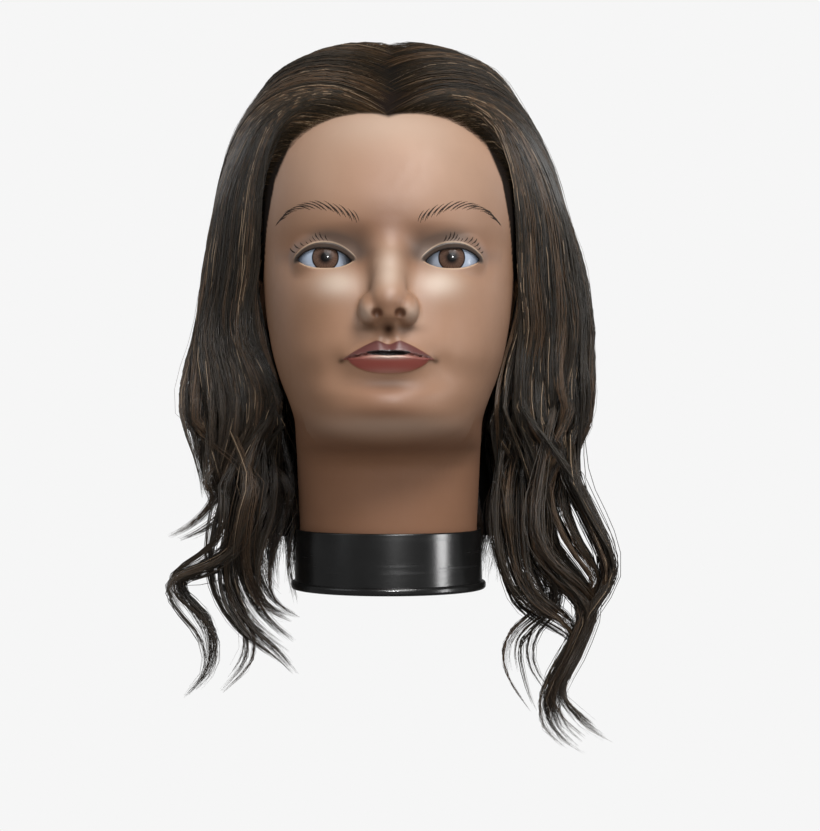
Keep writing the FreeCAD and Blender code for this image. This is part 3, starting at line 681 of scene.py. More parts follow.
def skin_material():
    n = Nodes("vinyl_skin")
    mask = n.attribute
    neck, scalp, shade = mask("neck"), mask("scalp"), mask("paint_shade")
    away, above, over = mask("from_eye"), mask("above_eye"), mask("over_crease")
    fade = n.times(mask("crease_fade"), n.ramp(above, -1.2, 0.4))
    # The crease's ridge, lighter: part make-up, part painted highlight where the ridge catches light.
    ridge = n.times(n.ramp(over, 1.2, 0.8), fade)
    line = n.times(n.ramp(over, 0.35, 0.1), fade)
    band = n.times(n.ramp(over, -0.35, -0.6), fade)
    edge = n.times(n.ramp(away, 0.9, 0.6), n.ramp(above, -0.8, 0.2))
    # The lower lid's rim, a painted highlight where it catches light.
    lower_rim_highlight = n.times(n.ramp(away, 1.1, 0.5), n.ramp(above, -0.6, -1.4))
    lips = n.ramp(mask("lip_depth"), -0.15, 0.45)
    lip_tone_and_highlight = n.mix(n.ramp(mask("lip_height"), -0.8, 0.8), LIP_RED, LIP_MAUVE)
    # A painted highlight along the lower lip's top, and a paler band at its foot.
    lip_tone_and_highlight = n.mix(mask("paint_lip_light"), lip_tone_and_highlight, HIGHLIGHT_COLOUR)
    # Painted shade in the nostril hollows.
    nostril = n.ramp(mask("nostril"), 0.8, -0.4)
    mottle = n.mix(n.ramp(n.noise(26.0, 4.0), 0.35, 0.65), SKIN_COLOUR, SKIN_DARK)
    n.set("Base Color", n.layers(mottle, [
        # Painted shade under the chin, on the neck.
        (n.times(neck, 0.7), NECK_SHADE_COLOUR),
        (mask("paint_light"), HIGHLIGHT_COLOUR),
        # Warm make-up tones, and painted shade on the glabella, nose tip and chin.
        (mask("paint_warm_and_shade"), WARM_AND_SHADE_COLOUR),
        (n.times(mask("eyeshadow"), 0.8), EYESHADOW_COLOUR),
        (n.times(ridge, 0.6), LID_RIDGE_HIGHLIGHT),
        (n.times(line, 0.9), LINER_COLOUR),
        (n.times(band, 0.95), LID_COLOUR),
        (n.times(edge, 0.95), LINER_COLOUR),
        (n.times(lower_rim_highlight, 0.6), LID_RIDGE_HIGHLIGHT),
        (lips, lip_tone_and_highlight),
        (shade, SHADE_COLOUR),
        (nostril, NOSTRIL_SHADE_COLOUR),
        # Painted shade in the gap between the lips.
        (n.ramp(mask("mouth_gap"), 0.5, 0.1), MOUTH_GAP_SHADE),
        (scalp, SCALP_COLOUR),
    ]))
    rough = n.ramp(n.noise(180.0, 2.0), 0.3, 0.7, 0.52, 0.58)
    for where, more in ((neck, 0.2), (scalp, 0.3), (band, 0.3), (lips, -0.14)):
        rough = n.math("ADD", rough, n.times(where, more))
    n.set("Roughness", rough)
    dull = n.times(n.highest(band, neck), 0.3)
    dark = n.times(n.highest(scalp, nostril, shade), 0.45)
    n.set("Specular IOR Level", n.math("SUBTRACT", 0.5, n.highest(dull, dark)))
    n.bump(n.noise(900.0, 3.0), 0.06, 0.0006)
    return n.material


# --- the eyes -----------------------------------------------------------------------------------------
SCLERA_COLOUR = linear(166, 178, 196)
SCLERA_EDGE = linear(118, 126, 142)
IRIS_COLOUR = linear(78, 59, 49)
IRIS_LIGHT = linear(99, 76, 64)
IRIS_RIM = linear(30, 22, 20)
PUPIL_COLOUR = linear(12, 9, 8)
EYE_BULGE = 0.35  # of the clear part over the iris
EYE_SEGMENTS = 96
EYE_RINGS = 55


def make_eyes():
    """Two moulded eyes: a clear bulge over the iris, and the white around it."""
    material = eye_material()
    around = np.linspace(0, 2 * math.pi, EYE_SEGMENTS, endpoint=False)
    angles = np.linspace(0.0, math.radians(82), EYE_RINGS + 1)
    turn, angle = np.meshgrid(around, angles[1:])
    out = EYEBALL_RADIUS * np.sin(angle)
    bulge = EYE_BULGE * np.clip(1 - (out / (IRIS_RADIUS + 0.6))**2, 0, 1)
    ahead = EYEBALL_RADIUS * np.cos(angle) + bulge
    rings = np.stack([out * np.cos(turn), -ahead, out * np.sin(turn)], 2).reshape(-1, 3)
    points = np.vstack([[[0, -EYEBALL_RADIUS - EYE_BULGE, 0]], rings])
    grid = 1 + np.arange(EYE_RINGS * EYE_SEGMENTS).reshape(EYE_RINGS, EYE_SEGMENTS)
    after = np.roll(grid, -1, axis=1)
    fan = np.stack([np.zeros(EYE_SEGMENTS, int), grid[0], after[0]], 1)
    quads = np.stack([grid[:-1], grid[1:], after[1:], after[:-1]], -1).reshape(-1, 4)
    back = grid[-1][::-1][None, :]
    for side, word in ((-1, "left"), (1, "right")):
        centre = np.array([side * EYE_X, EYE_Y, EYE_Z])
        eye = make_mesh("eyeball_" + word, points + centre, [fan, quads, back])
        add_attributes(eye, {"off_axis": np.hypot(points[:, 0], points[:, 2]),
                             "turn": np.arctan2(points[:, 2], points[:, 0])})
        eye.data.materials.append(material)
        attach(eye, "head")
        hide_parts("eye_" + word, "iris_" + word)


def eye_material():
    n = Nodes("moulded_eye")
    off_axis, turn = n.attribute("off_axis"), n.attribute("turn")
    spokes = n.new("ShaderNodeCombineXYZ", {"X": n.times(n.math("COSINE", turn), 4.0),
                                            "Y": n.times(n.math("SINE", turn), 4.0),
                                            "Z": n.times(off_axis, 0.12)})
    streaks = n.ramp(n.noise(3.0, 4.0, spokes.outputs[0]), 0.35, 0.65)
    iris = n.layers(n.mix(streaks, IRIS_COLOUR, IRIS_LIGHT), [
        (n.ramp(off_axis, IRIS_RADIUS - 1.0, IRIS_RADIUS - 0.35), IRIS_RIM),
        (n.ramp(off_axis, PUPIL_RADIUS + 1.5, PUPIL_RADIUS - 0.6), PUPIL_COLOUR),
    ])
    white = n.mix(n.ramp(off_axis, 9.0, 14.0), SCLERA_COLOUR, SCLERA_EDGE)
    n.set("Base Color", n.mix(n.ramp(off_axis, IRIS_RADIUS - 0.15, IRIS_RADIUS + 0.15), iris, white))
    n.set("Roughness", 0.35)
    n.set("Specular IOR Level", 0.05)
    n.set("Coat Weight", 0.2)
    n.set("Coat Roughness", 0.03)
    return n.material


# --- brows and lashes ---------------------------------------------------------------------------------
BROW_COLOUR = linear(48, 37, 31)
BROW_LIGHT = linear(66, 53, 45)
# Each brow's middle line, from its inner end, as (x, z); x is mirrored.
BROW_LINE = [(15.0, 190.6), (22.0, 194.3), (30.0, 197.2), (37.5, 198.4), (44.5, 198.2), (51.0, 196.0),
             (56.0, 192.0)]
BROW_STROKES = 34
BROW_STROKE_LENGTH = 8.2
BROW_STROKE_WIDTH = 1.1
# Lashes on each side: first and last place along the lid (-1 to 1), how many, and their length.
LEFT_LASHES = (-0.1, 1.05, 9, 4.4)
RIGHT_LASHES = (-0.3, 1.05, 12, 4.6)
LEFT_LASH_WIDTH = 1.15
RIGHT_LASH_WIDTH = 1.2
FRONT_OF_FACE = -140  # a y from which rays reach the face


def brow_strokes():
    """Fine slanted strokes along each brow, as lists of (x, z)."""
    xs, zs = np.array(BROW_LINE).T
    along_brow = np.linspace(0, 1, len(xs))
    strokes = []
    for i in range(BROW_STROKES):
        t = (i + 0.5) / BROW_STROKES
        x, z = np.interp(t, along_brow, xs), np.interp(t, along_brow, zs)
        dx, dz = np.interp(t + 0.03, along_brow, xs) - x, np.interp(t + 0.03, along_brow, zs) - z
        heading = math.atan2(dz, dx) + math.radians(34 - 25 * t)
        length = BROW_STROKE_LENGTH * (0.75 + 0.35 * math.sin(math.pi * t))
        z += 1.9 * (1 - t)**0.4 * (0.5 - (i * 0.618) % 1)
        strokes.append([(x + s * length * math.cos(heading - 0.35 * s),
                         z + s * length * math.sin(heading - 0.35 * s)) for s in np.linspace(-0.5, 0.5, 7)])
    return strokes


def z_of_crease(x):
    """Height of the upper lid's crease at x."""
    return EYE_Z - float(lid_crease(np.array(x), EYE_Z)[0])


def lash_strokes(first, last, count, length):
    """Short strokes that stand out of the upper lid's crease, as lists of (x, z)."""
    strokes = []
    for i in range(count):
        u = first + (last - first) * i / (count - 1)
        x = EYE_X + u * EYE_HALF_WIDTH
        z = z_of_crease(x) + 1.0
        lean = math.radians(72 - 46 * (u + 1) / 2)
        reach = length * (0.8 + 0.35 * math.sin(7.3 * i))
        strokes.append([(x + s * reach * math.cos(lean + 0.25 * s),
                         z + s * reach * math.sin(lean + 0.25 * s)) for s in np.linspace(0, 1, 5)])
    return strokes


def make_strokes(name, strokes, width, surface, material):
    """Painted hairs as thin tapered ribs that lie on the skin."""
    inwards = Vector((0, 1, 0))
    lines = np.array([[surface.ray_cast(Vector((x, FRONT_OF_FACE, z)) * MM, inwards)[0]
                       for x, z in stroke] for stroke in strokes]) / MM
    shares = np.linspace(0, 1, lines.shape[1])
    reach = width / 2 * (0.25 + 0.75 * np.sin(math.pi * (shares * 0.92 + 0.06)))
    sideways = unit(np.cross(np.gradient(lines, axis=1), [0, 1, 0])) * reach[:, None]
    deep, proud = np.array([0, 0.25, 0]), np.array([0, -0.14, 0])
    corners = np.stack([lines - sideways + deep, lines + proud, lines + sideways + deep], 2)
    obj = make_mesh(name, *tubes(corners))
    obj.data.materials.append(material)
    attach(obj, "head")


def mirrored(strokes):
    """The same strokes on the other side of the face."""
    return [[(-x, z) for x, z in stroke] for stroke in strokes]


def make_brows_and_lashes(skin):
    surface = BVHTree.FromObject(skin, bpy.context.evaluated_depsgraph_get())
    n = Nodes("painted_hairs")
    n.set("Base Color", n.mix(n.ramp(n.noise(400.0, 2.0), 0.3, 0.7), BROW_COLOUR, BROW_LIGHT))
    n.set("Roughness", 0.85)
    n.set("Specular IOR Level", 0.15)
    brow, left_lashes = brow_strokes(), mirrored(lash_strokes(*LEFT_LASHES))
    make_strokes("brow_left", mirrored(brow), BROW_STROKE_WIDTH, surface, n.material)
    make_strokes("brow_right", brow, BROW_STROKE_WIDTH, surface, n.material)
    make_strokes("lashes_left", left_lashes, LEFT_LASH_WIDTH, surface, n.material)
    make_strokes("lashes_right", lash_strokes(*RIGHT_LASHES), RIGHT_LASH_WIDTH, surface, n.material)


# --- hair: where it grows and how it falls ------------------------------------------------------------
SEED = 7
HAIR_DARK = linear(30, 25, 18)
HAIR_BROWN = linear(50, 41, 30)
HAIR_LIGHT = linear(88, 67, 48)
HAIR_TIP = linear(66, 52, 39)
# A painted highlight for a few strands that stand in for hairs catching the light.
HAIR_HIGHLIGHT = linear(150, 128, 104)
HEAD_MIDDLE = np.array([0.0, 8.0, 187.0])
# Where hair grows on the right half, from the front edge (0) to the middle of the back (1): share, x, y, z.
OUTER_ROOTS = [(0, 24, -62.5, 253), (.08, 15, -65, 251), (.18, 7, -68, 247.4), (.30, .8, -70, 244.2),
               (.38, .8, -58, 257), (.52, .8, -30, 274), (.68, .8, 5, 284.5), (.85, .8, 40, 280),
               (1, .8, 62, 268)]
MIDDLE_ROOTS = [(0, 62, -38, 198), (.08, 57, -45, 216), (.18, 48, -57, 235), (.28, 36, -63, 245),
                (.38, 28, -50, 260), (.5, 40, -10, 268), (.62, 50, 25, 255), (.75, 48, 55, 238),
                (.88, 35, 80, 215), (1, .8, 91, 190)]
DEEP_ROOTS = [(0, 67, -24, 162), (.15, 68, -12, 172), (.3, 69, 8, 178), (.45, 67, 28, 155),
              (.6, 58, 52, 128), (.8, 38, 70, 110), (1, .8, 76, 99)]
HANG_TOP = 205.0  # hair leaves the head at this height
HAIR_TOP = 299.5  # no hair above it
SCALP_LIFT = 0.3  # how far above the skin the roots and the dark cap's foot are
FLAP_SHARE = 0.45  # the front flap's part of the way round
BACK_SHARE = 0.53  # beyond this, hair belongs to the back
CLUMPS = [(0.12, 34, 16), (0.40, 46, 22), (0.70, 50, 28), (0.93, 62, 36)]  # layer, clumps, strands in each
STRAND_POINTS = 32
STRAND_WIDTH = 0.46
FLYAWAYS = 45  # thin loose hairs to each section
FLYAWAY_WIDTH = 0.207
FLYAWAY_TINT = 0.9
PIECE_STRANDS = 950
CROWN_SPREAD = math.radians(44.0)  # half the angle that the crown's dark cap spans
CROWN_LEAN = math.radians(5.0)
CROWN_DEPTH = 0.74  # of the way from the scalp to the hair's outer shape
# How the front flaps gather towards their lower ends: x, from height, to height, strength, end height.
FLAPS = {-1: (102.0, 106.0, 44.0, 0.70, 50.0), 1: (90.0, 90.0, 30.0, 0.45, 30.0)}
FLAP_LAYER = 0.55  # the flaps are made of the clumps above this layer

# Waved locks as (x, y, z, spread): the way they run below the hair that hangs straight.
LEFT_LOCKS = {
    "flip": [(94, 8, 62, 5), (90, 6, 50, 4), (98, 4, 38, 4.5), (111, 2, 30, 3.5), (128, 0, 23, 2)],
    "hook": [(80, 10, 62, 9), (79, 8, 44, 8), (85, 5, 24, 6), (101, 2, 13, 5), (115, 0, 7, 3.5),
             (118, 0, -1, 3.5), (109, 2, -12, 4.5), (100, 4, -24, 5), (98, 5, -38, 5), (102, 5, -50, 4),
             (114, 5, -61, 3)],
    "long": [(78, 12, 62, 9), (84, 10, 40, 8), (91, 8, 14, 5), (89, 7, -6, 3.5), (78, 6, -24, 3),
             (62, 5, -37, 2.5), (50, 4, -50, 2)],
    "second": [(72, 14, 62, 10), (74, 12, 45, 10), (81, 11, 17, 8), (79, 10, -2, 5), (70, 9, -19, 4),
               (52, 8, -34, 3)],
    "third": [(66, 15, 62, 9), (67, 14, 40, 9), (72, 13, 13, 7), (67, 12, -6, 5), (57, 11, -14, 3),
              (48, 10, -18, 2)],
    "fourth": [(61, 16, 62, 7), (61, 16, 42, 7), (64, 15, 17, 6), (60, 14, 3, 3), (52, 13, -6, 2)],
    "tail": [(82, 10, 50, 4), (86, 9, 8, 3), (80, 8, -14, 2), (75, 7, -29, 2.5), (77, 7, -42, 3),
             (86, 7, -52, 2.5), (94, 7, -61, 1.5)],
}
RIGHT_LOCKS = {
    "outer loop": [(99, 4, 62, 5.5), (103, 4, 52, 4.5), (112, 2, 34, 4.5), (119, 0, 20, 4),
                   (121, 0, 8, 3.5), (118, 0, -1, 3), (111, 0, -10, 3), (107, 2, -20, 2.5),
                   (102, 4, -31, 2.5), (95, 5, -46, 3), (88, 5, -61, 3), (93, 5, -77, 3), (105, 4, -86, 3)],
    "inner loop": [(92, 6, 60, 6), (93, 5, 44, 5), (102, 3, 24, 4), (112, 1, 10, 3), (114, 1, -1, 2.5),
                   (108, 2, -10, 3), (104, 4, -22, 3), (99, 5, -36, 3)],
    "main": [(80, 8, 55, 7), (80, 8, 30, 7), (89, 6, 14, 6.5), (101, 4, 2, 5), (110, 3, -9, 3.5),
             (107, 3, -20, 3.5), (102, 4, -31, 3.5), (95, 5, -46, 5), (88, 5, -60, 4), (89, 5, -73, 4),
             (97, 4, -83, 3), (110, 3, -90, 2)],
    "fan": [(82, 9, 50, 6), (84, 8, 24, 6), (97, 5, 4, 5), (109, 3, -10, 4), (103, 4, -30, 4),
            (96, 5, -46, 4), (91, 5, -58, 3), (101, 4, -71, 4), (111, 3, -80, 3.5), (124, 2, -86, 2)],
    "thin dark": [(62, 14, 50, 3), (62, 14, 24, 2.5), (65, 13, 3, 2), (71, 11, -10, 1.8), (84, 9, -19, 1.8),
                  (98, 6, -27, 2), (103, 5, -36, 2), (96, 5, -48, 2.5)],
    "left loop": [(76, 12, 45, 6), (78, 11, 18, 6), (90, 8, -5, 4), (80, 9, -18, 3.5), (70, 9, -27, 3.5),
                  (67, 9, -39, 4), (70, 8, -52, 3.5), (75, 8, -62, 2.5), (81, 7, -71, 1.5)],
    "left strand": [(80, 12, 45, 5), (82, 11, 18, 5), (92, 8, -9, 3), (81, 8, -22, 2.5), (77, 8, -34, 2.5),
                    (79, 8, -46, 2), (86, 7, -57, 2), (92, 6, -66, 2)],
    "middle": [(66, 14, 50, 8), (68, 13, 24, 8), (74, 11, 4, 7), (84, 9, -7, 6), (96, 7, -16, 4),
               (103, 5, -26, 3), (101, 5, -36, 3), (95, 5, -46, 3)],
}
LOCKS = {-1: LEFT_LOCKS, 1: RIGHT_LOCKS}
LOCK_WEIGHTS = {
    "left flap": {"flip": 0.2, "hook": 0.3, "long": 0.16, "second": 0.18, "third": 0.16},
    "left": {"flip": 0.04, "hook": 0.2, "long": 0.18, "second": 0.19, "third": 0.18, "fourth": 0.15,
             "tail": 0.06},
    "right flap": {"outer loop": 0.34, "inner loop": 0.22, "main": 0.26, "fan": 0.18},
    "right": {"main": 0.2, "fan": 0.1, "thin dark": 0.1, "left loop": 0.17, "left strand": 0.11,
              "middle": 0.32},
}
FLAP_INTO_LOCKS = {-1: 0.38, 1: 0.85}  # the share of each flap's clumps that run on as locks

hair_width = {1: curve(HAIR_WIDTH_RIGHT), -1: curve(HAIR_WIDTH_LEFT)}
hair_front, hair_back = curve(HAIR_FRONT_LINE), curve(HAIR_BACK_LINE)
inner_width, inner_back = curve(INNER_WIDTH), curve(INNER_BACK)
front_edge = {1: curve(FRONT_EDGE_RIGHT), -1: curve(FRONT_EDGE_LEFT)}


def along(table, share):
    """The place at a share of the way along a table of (share, x, y, z)."""
    rows = np.array(table, float)
    return np.stack([np.interp(share, rows[:, 0], rows[:, i]) for i in (1, 2, 3)], -1)


def envelope_field(side, x, y, z):
    """Below 1 inside the hair's outer shape."""
    depth = np.where(y < HAIR_CENTRE_Y, HAIR_CENTRE_Y - hair_front(z), hair_back(z) - HAIR_CENTRE_Y)
    return np.hypot(x / hair_width[side](z), (y - HAIR_CENTRE_Y) / depth) + (z > HAIR_TOP) * 10


def inside_scalp(x, y, z):
    return skull_field(x, y, z) < SCALP_LIFT


def reach_along(directions, inside):
    """How far from the head's middle each direction leaves a shape, by halving."""
    low = np.full(directions.shape[:-1], 40.0)
    high = np.full(directions.shape[:-1], 160.0)
    for _ in range(12):
        middle = (low + high) / 2
        place = HEAD_MIDDLE + directions * middle[..., None]
        within = inside(place[..., 0], place[..., 1], place[..., 2])
        low, high = np.where(within, middle, low), np.where(within, high, middle)
    return (low + high) / 2


def hang_point(side, share, layer, z):
    """Where the hair at a share of the way round, and in a layer, hangs at height z."""
    width = hair_width[side](z)
    first = np.arcsin(np.clip(front_edge[side](z) / width, 0.2, 0.97))
    angle = first + share * (math.pi - first)
    sine, cosine = np.sin(angle), np.cos(angle)
    depth = np.where(cosine > 0, HAIR_CENTRE_Y - hair_front(z), hair_back(z) - HAIR_CENTRE_Y)
    outer = np.stack([width * sine, HAIR_CENTRE_Y - depth * cosine], -1)
    behind = cosine < 0
    inner_x = inner_width(z) * np.where(behind, sine, 1.0)
    inner_y = np.where(behind, HAIR_CENTRE_Y - (inner_back(z) - HAIR_CENTRE_Y) * cosine, outer[..., 1])
    inner = np.stack([np.minimum(inner_x, outer[..., 0]), inner_y], -1)
    flat = inner + (outer - inner) * layer[..., None]
    return np.stack([side * flat[..., 0], flat[..., 1], np.broadcast_to(z, flat.shape[:-1])], -1)


def root_points(side, share, layer, rng):
    """The direction and distance of each hair's root from the head's middle."""
    outer, middle, deep = (along(t, share) for t in (OUTER_ROOTS, MIDDLE_ROOTS, DEEP_ROOTS))
    up = np.clip(layer * 2 - 1, 0, 1)[:, None]
    down = np.clip(1 - layer * 2, 0, 1)[:, None]
    place = outer * up + deep * down + middle * (1 - up - down)
    middle_of_head = smoothstep(0.1, 0.2, share) * np.clip(layer * 2 - 1, 0, 1)
    crossing = rng.normal(0, 1.5, len(share))
    crossing = np.abs(crossing + 5.0 * rng.random(len(share)) * smoothstep(0.3, 0.4, share))
    place[:, 0] = side * (place[:, 0] - crossing * middle_of_head)
    heading = unit(place - HEAD_MIDDLE)
    return heading, reach_along(heading, inside_scalp)


def over_head(side, share, layer, rng):
    """Each hair's way from its root over the head to where it starts to hang."""
    start, start_reach = root_points(side, share, layer, rng)
    root_z = HEAD_MIDDLE[2] + start[:, 2] * start_reach
    hang_z = np.minimum(HANG_TOP, root_z - 12)
    end_point = hang_point(side, share, layer, hang_z) - HEAD_MIDDLE
    end_reach = np.linalg.norm(end_point, axis=1)
    end = end_point / end_reach[:, None]
    forward = np.clip(-start[:, 1] * 1.6 - 0.3, 0, 1)[:, None]
    lift = forward * (0.25 + 0.75 * layer[:, None]) * rng.normal(0.62, 0.07, (len(share), 1))
    middle = unit(start + end + lift * np.array([0.0, 0.55, 1.0]))
    t = np.linspace(0, 1, 15)[None, :, None]
    path = unit(start[:, None] * (1 - t)**2 + middle[:, None] * 2 * t * (1 - t) + end[:, None] * t**2)
    scalp = reach_along(path, inside_scalp)
    envelope = reach_along(path, lambda x, y, z: envelope_field(side, x, y, z) < 1)
    t = t[..., 0]
    risen = 0.45 * smoothstep(0.3, 0.45, share)[:, None]
    depth = 0.02 + (0.15 + 0.83 * layer[:, None]) * smoothstep(-0.06 - risen, 0.26, t)
    reach = scalp + (np.maximum(envelope, scalp + 2) - scalp) * depth
    reach += (end_reach[:, None] - reach[:, -1:]) * t**2
    return HEAD_MIDDLE + path * reach[..., None], hang_z


def catmull_rom(controls, steps=5):
    """Smooth curves through control points, for arrays shaped (strands, points, 3)."""
    padded = np.concatenate([2 * controls[:, :1] - controls[:, 1:2], controls,
                             2 * controls[:, -1:] - controls[:, -2:-1]], 1)
    pieces = []
    for t in np.arange(steps) / steps:
        weights = (-t + 2 * t**2 - t**3, 2 - 5 * t**2 + 3 * t**3, t + 4 * t**2 - 3 * t**3, t**3 - t**2)
        count = controls.shape[1] - 1
        pieces.append(sum(w / 2 * padded[:, i:i + count] for i, w in enumerate(weights)))
    curves = np.stack(pieces, 2).reshape(len(controls), -1, 3)
    return np.concatenate([curves, controls[:, -1:]], 1)


def resampled(lines, count, share):
    """Each line cut to a share of its length and spaced evenly."""
    for _ in range(2):
        lines[:, 1:-1] = lines[:, :-2] * 0.25 + lines[:, 1:-1] * 0.5 + lines[:, 2:] * 0.25
    length = np.cumsum(np.linalg.norm(np.diff(lines, axis=1), axis=2), axis=1)
    length = np.concatenate([np.zeros((len(lines), 1)), length], 1)
    out = np.empty((len(lines), count, 3))
    for i, line in enumerate(lines):
        wanted = np.linspace(0, length[i, -1] * share[i], count)
        for axis in range(3):
            out[i, :, axis] = np.interp(wanted, length[i], line[:, axis])
    return out


def lock_controls(side, guide, across, deep):
    """A lock's guide moved sideways and in depth for every strand, each within the lock's spread."""
    rows = np.array(guide, float)
    centre = rows[:, :3] * [side, 1, 1]
    heading = np.gradient(centre, axis=0)
    normal = unit(np.stack([heading[:, 2], np.zeros(len(rows)), -heading[:, 0]], 1))
    depth = np.linspace(3.6, 1.6, len(rows))[None, :, None] * np.array([0.0, 1.0, 0.0])
    offset = across[..., None] * normal + deep[..., None] * depth
    return centre + offset * rows[:, 3][None, :, None]


def pick_lock(side, share, flap, rng):
    """The lock that a clump runs on into, or None where it ends loose."""
    if share >= BACK_SHARE or (flap and rng.random() >= FLAP_INTO_LOCKS[side]):
        return None
    weights = LOCK_WEIGHTS[("left" if side < 0 else "right") + (" flap" if flap else "")]
    names = list(weights)
    return names[rng.choice(len(names), p=np.array(list(weights.values())) / sum(weights.values()))]


def last_heights(side, share, lock, flap, strands, rng):
    """Where each strand of a clump stops hanging straight."""
    if lock is not None:
        return np.full(strands, rng.uniform(84, 100))
    if flap:
        last_z = FLAPS[side][4] + rng.normal(0, 4)
    elif share < BACK_SHARE:
        last_z = rng.uniform(8, 42)
    else:
        last_z = rng.normal(7, 4.0) - (side < 0) * rng.uniform(0, 14) * smoothstep(0.75, 0.55, share)
    return last_z + rng.normal(0, 2.5, strands)


def lock_part(side, lock, strands, rng):
    """The control points of a clump's strands within a lock, and the share of its length each keeps."""
    guide = LOCKS[side][lock]
    turn, out = rng.uniform(0, 2 * math.pi), math.sqrt(rng.random())
    stray = 0.15 + 0.35 * (rng.random(strands) < 0.1)
    across = 1.2 * out * math.cos(turn) + stray * rng.normal(0, 1, strands)
    deep = out * math.sin(turn) + 0.15 * rng.normal(0, 1, strands)
    weave = 0.35 * np.sin(0.95 * np.arange(len(guide)) + rng.uniform(0, 2 * math.pi))
    controls = lock_controls(side, guide, across[:, None] + weave, deep[:, None] - weave)
    lost = 0.24 * rng.random()**1.5
    return controls, np.clip(1 - lost - np.abs(rng.normal(0, 0.03, strands)), 0.5, 1.0)


def clump_strands(side, share, layer, strands, rng):
    """One clump: strands that leave the head together and end together, in a lock or loose."""
    shares = np.clip(share + rng.normal(0, 0.012, strands), 0, 1)
    layers = np.clip(layer + rng.normal(0, 0.07, strands), 0.02, 1)
    top, hang_z = over_head(side, shares, layers, rng)
    flap = layer > FLAP_LAYER and share < FLAP_SHARE
    lock = pick_lock(side, share, flap, rng)
    last_z = last_heights(side, share, lock, flap, strands, rng)
    t = np.linspace(0, 1, 16)[None, 1:]
    z = hang_z[:, None] + (last_z - hang_z)[:, None] * t
    gather = 0.72 * smoothstep(200, 60, z)
    near = shares[:, None] + (share - shares[:, None]) * gather
    inner = layers[:, None] + (layer - layers[:, None]) * gather
    hang = hang_point(side, near, inner, z)
    growth = smoothstep(200, 30, z)
    wave, turn = rng.uniform(60, 105), rng.uniform(0, 2 * math.pi)
    own = rng.uniform(0, 2 * math.pi, (strands, 1))
    swing = rng.uniform(1.5, 3.6) * growth
    hang[..., 0] += swing * np.sin(2 * math.pi * z / wave + turn) + 0.7 * np.sin(z / 9 + own)
    hang[..., 1] += swing * np.cos(2 * math.pi * z / wave + turn) + 0.7 * np.cos(z / 11 + own)
    if flap:
        to_x, high, low, strength, _ = FLAPS[side]
        pull = strength * smoothstep(high, low, z)
        hang[..., 0] += (side * to_x - hang[..., 0]) * pull
    line = np.concatenate([top, hang], 1)
    ending = rng.uniform(0.93, 1.0, strands)
    if lock is not None:
        controls, ending = lock_part(side, lock, strands, rng)
        line = np.concatenate([line, controls], 1)
    return resampled(catmull_rom(line), STRAND_POINTS, ending)


def grow_hair(side, rng):
    """All the strands of one side, split into those of the side and of the back."""
    groups = {"side": [], "back": []}
    for layer, clumps, strands in CLUMPS:
        for i in range(clumps):
            share = np.clip((i + rng.uniform(0.1, 0.9)) / clumps, 0, 1)
            here = np.clip(layer + rng.normal(0, 0.06), 0.03, 0.99)
            lines = clump_strands(side, share, here, strands, rng)
            tint = np.clip(rng.random() + rng.normal(0, 0.18, strands), 0, 1)
            # A few strands get the painted highlight colour, as hairs catching the light.
            tint[rng.random(strands) < 0.03] = 1.3
            groups["side" if share < BACK_SHARE else "back"].append((lines, tint))
    return {name: (np.concatenate([g[0] for g in found]), np.concatenate([g[1] for g in found]))
            for name, found in groups.items()}


def flyaways(lines, rng):
    """A few thin hairs that leave the others, as copies that wander."""
    count = FLYAWAYS
    picked = lines[rng.choice(len(lines), count, replace=False)].copy()
    s = np.linspace(0, 1, STRAND_POINTS)[None, :]
    out = unit(picked - [0, 10, 0]) * [1.0, 0.8, 0.25]
    amount = np.minimum(rng.gamma(2.0, 1.5, (count, 1)), 5.0)
    amount = amount * np.sin(math.pi * np.clip(s * rng.uniform(0.7, 1.1, (count, 1)), 0, 1))
    wander = np.sin(s * rng.uniform(4, 11, (count, 1)) + rng.uniform(0, 6, (count, 1)))
    picked += out * (amount * (1 + 0.4 * wander))[..., None]
    return picked


def bend_at_hinge(obj):
    """Bakes the object's placement into its mesh."""
    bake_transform(obj)


def make_strand_mesh(name, lines, tint, width, material):
    """Strands as closed three-sided tubes that taper to both ends."""
    count, points = lines.shape[:2]
    heading = unit(np.gradient(lines, axis=1) + 1e-9)
    outward = unit(lines - np.array([0.0, 10.0, 0.0]) + 1e-6)
    side = unit(np.cross(heading, outward) + 1e-9)
    third = np.cross(side, heading)
    s = np.linspace(0, 1, points)
    taper = width / 2 * np.clip(0.05 + s * 9, 0, 1) * np.clip((1.02 - s) * 6.0, 0.12, 1)
    corners = []
    for angle in (90, 210, 330):
        a = math.radians(angle)
        corners.append(lines + (side * math.cos(a) + third * math.sin(a)) * taper[None, :, None])
    vertices, faces = tubes(np.stack(corners, 2))
    obj = make_mesh(name, vertices, faces)
    add_attributes(obj, {"tint": np.repeat(tint, points * 3), "along": np.tile(np.repeat(s, 3), count)})
    # Each strand has a column of its own in the baked picture, from its root at the foot upwards.
    corner = np.concatenate([group.ravel() for group in faces])
    strand, step = corner // (points * 3), (corner // 3) % points
    u = (strand + 0.5 + ((corner % 3) - 1) * 0.35) / count
    uv = np.stack([u, 0.01 + 0.98 * s[step]], 1)
    obj.data.uv_layers.new(name="OFBake").data.foreach_set("uv", uv.astype(np.float32).ravel())
    obj.data.materials.append(material)
    bend_at_hinge(obj)
    return obj


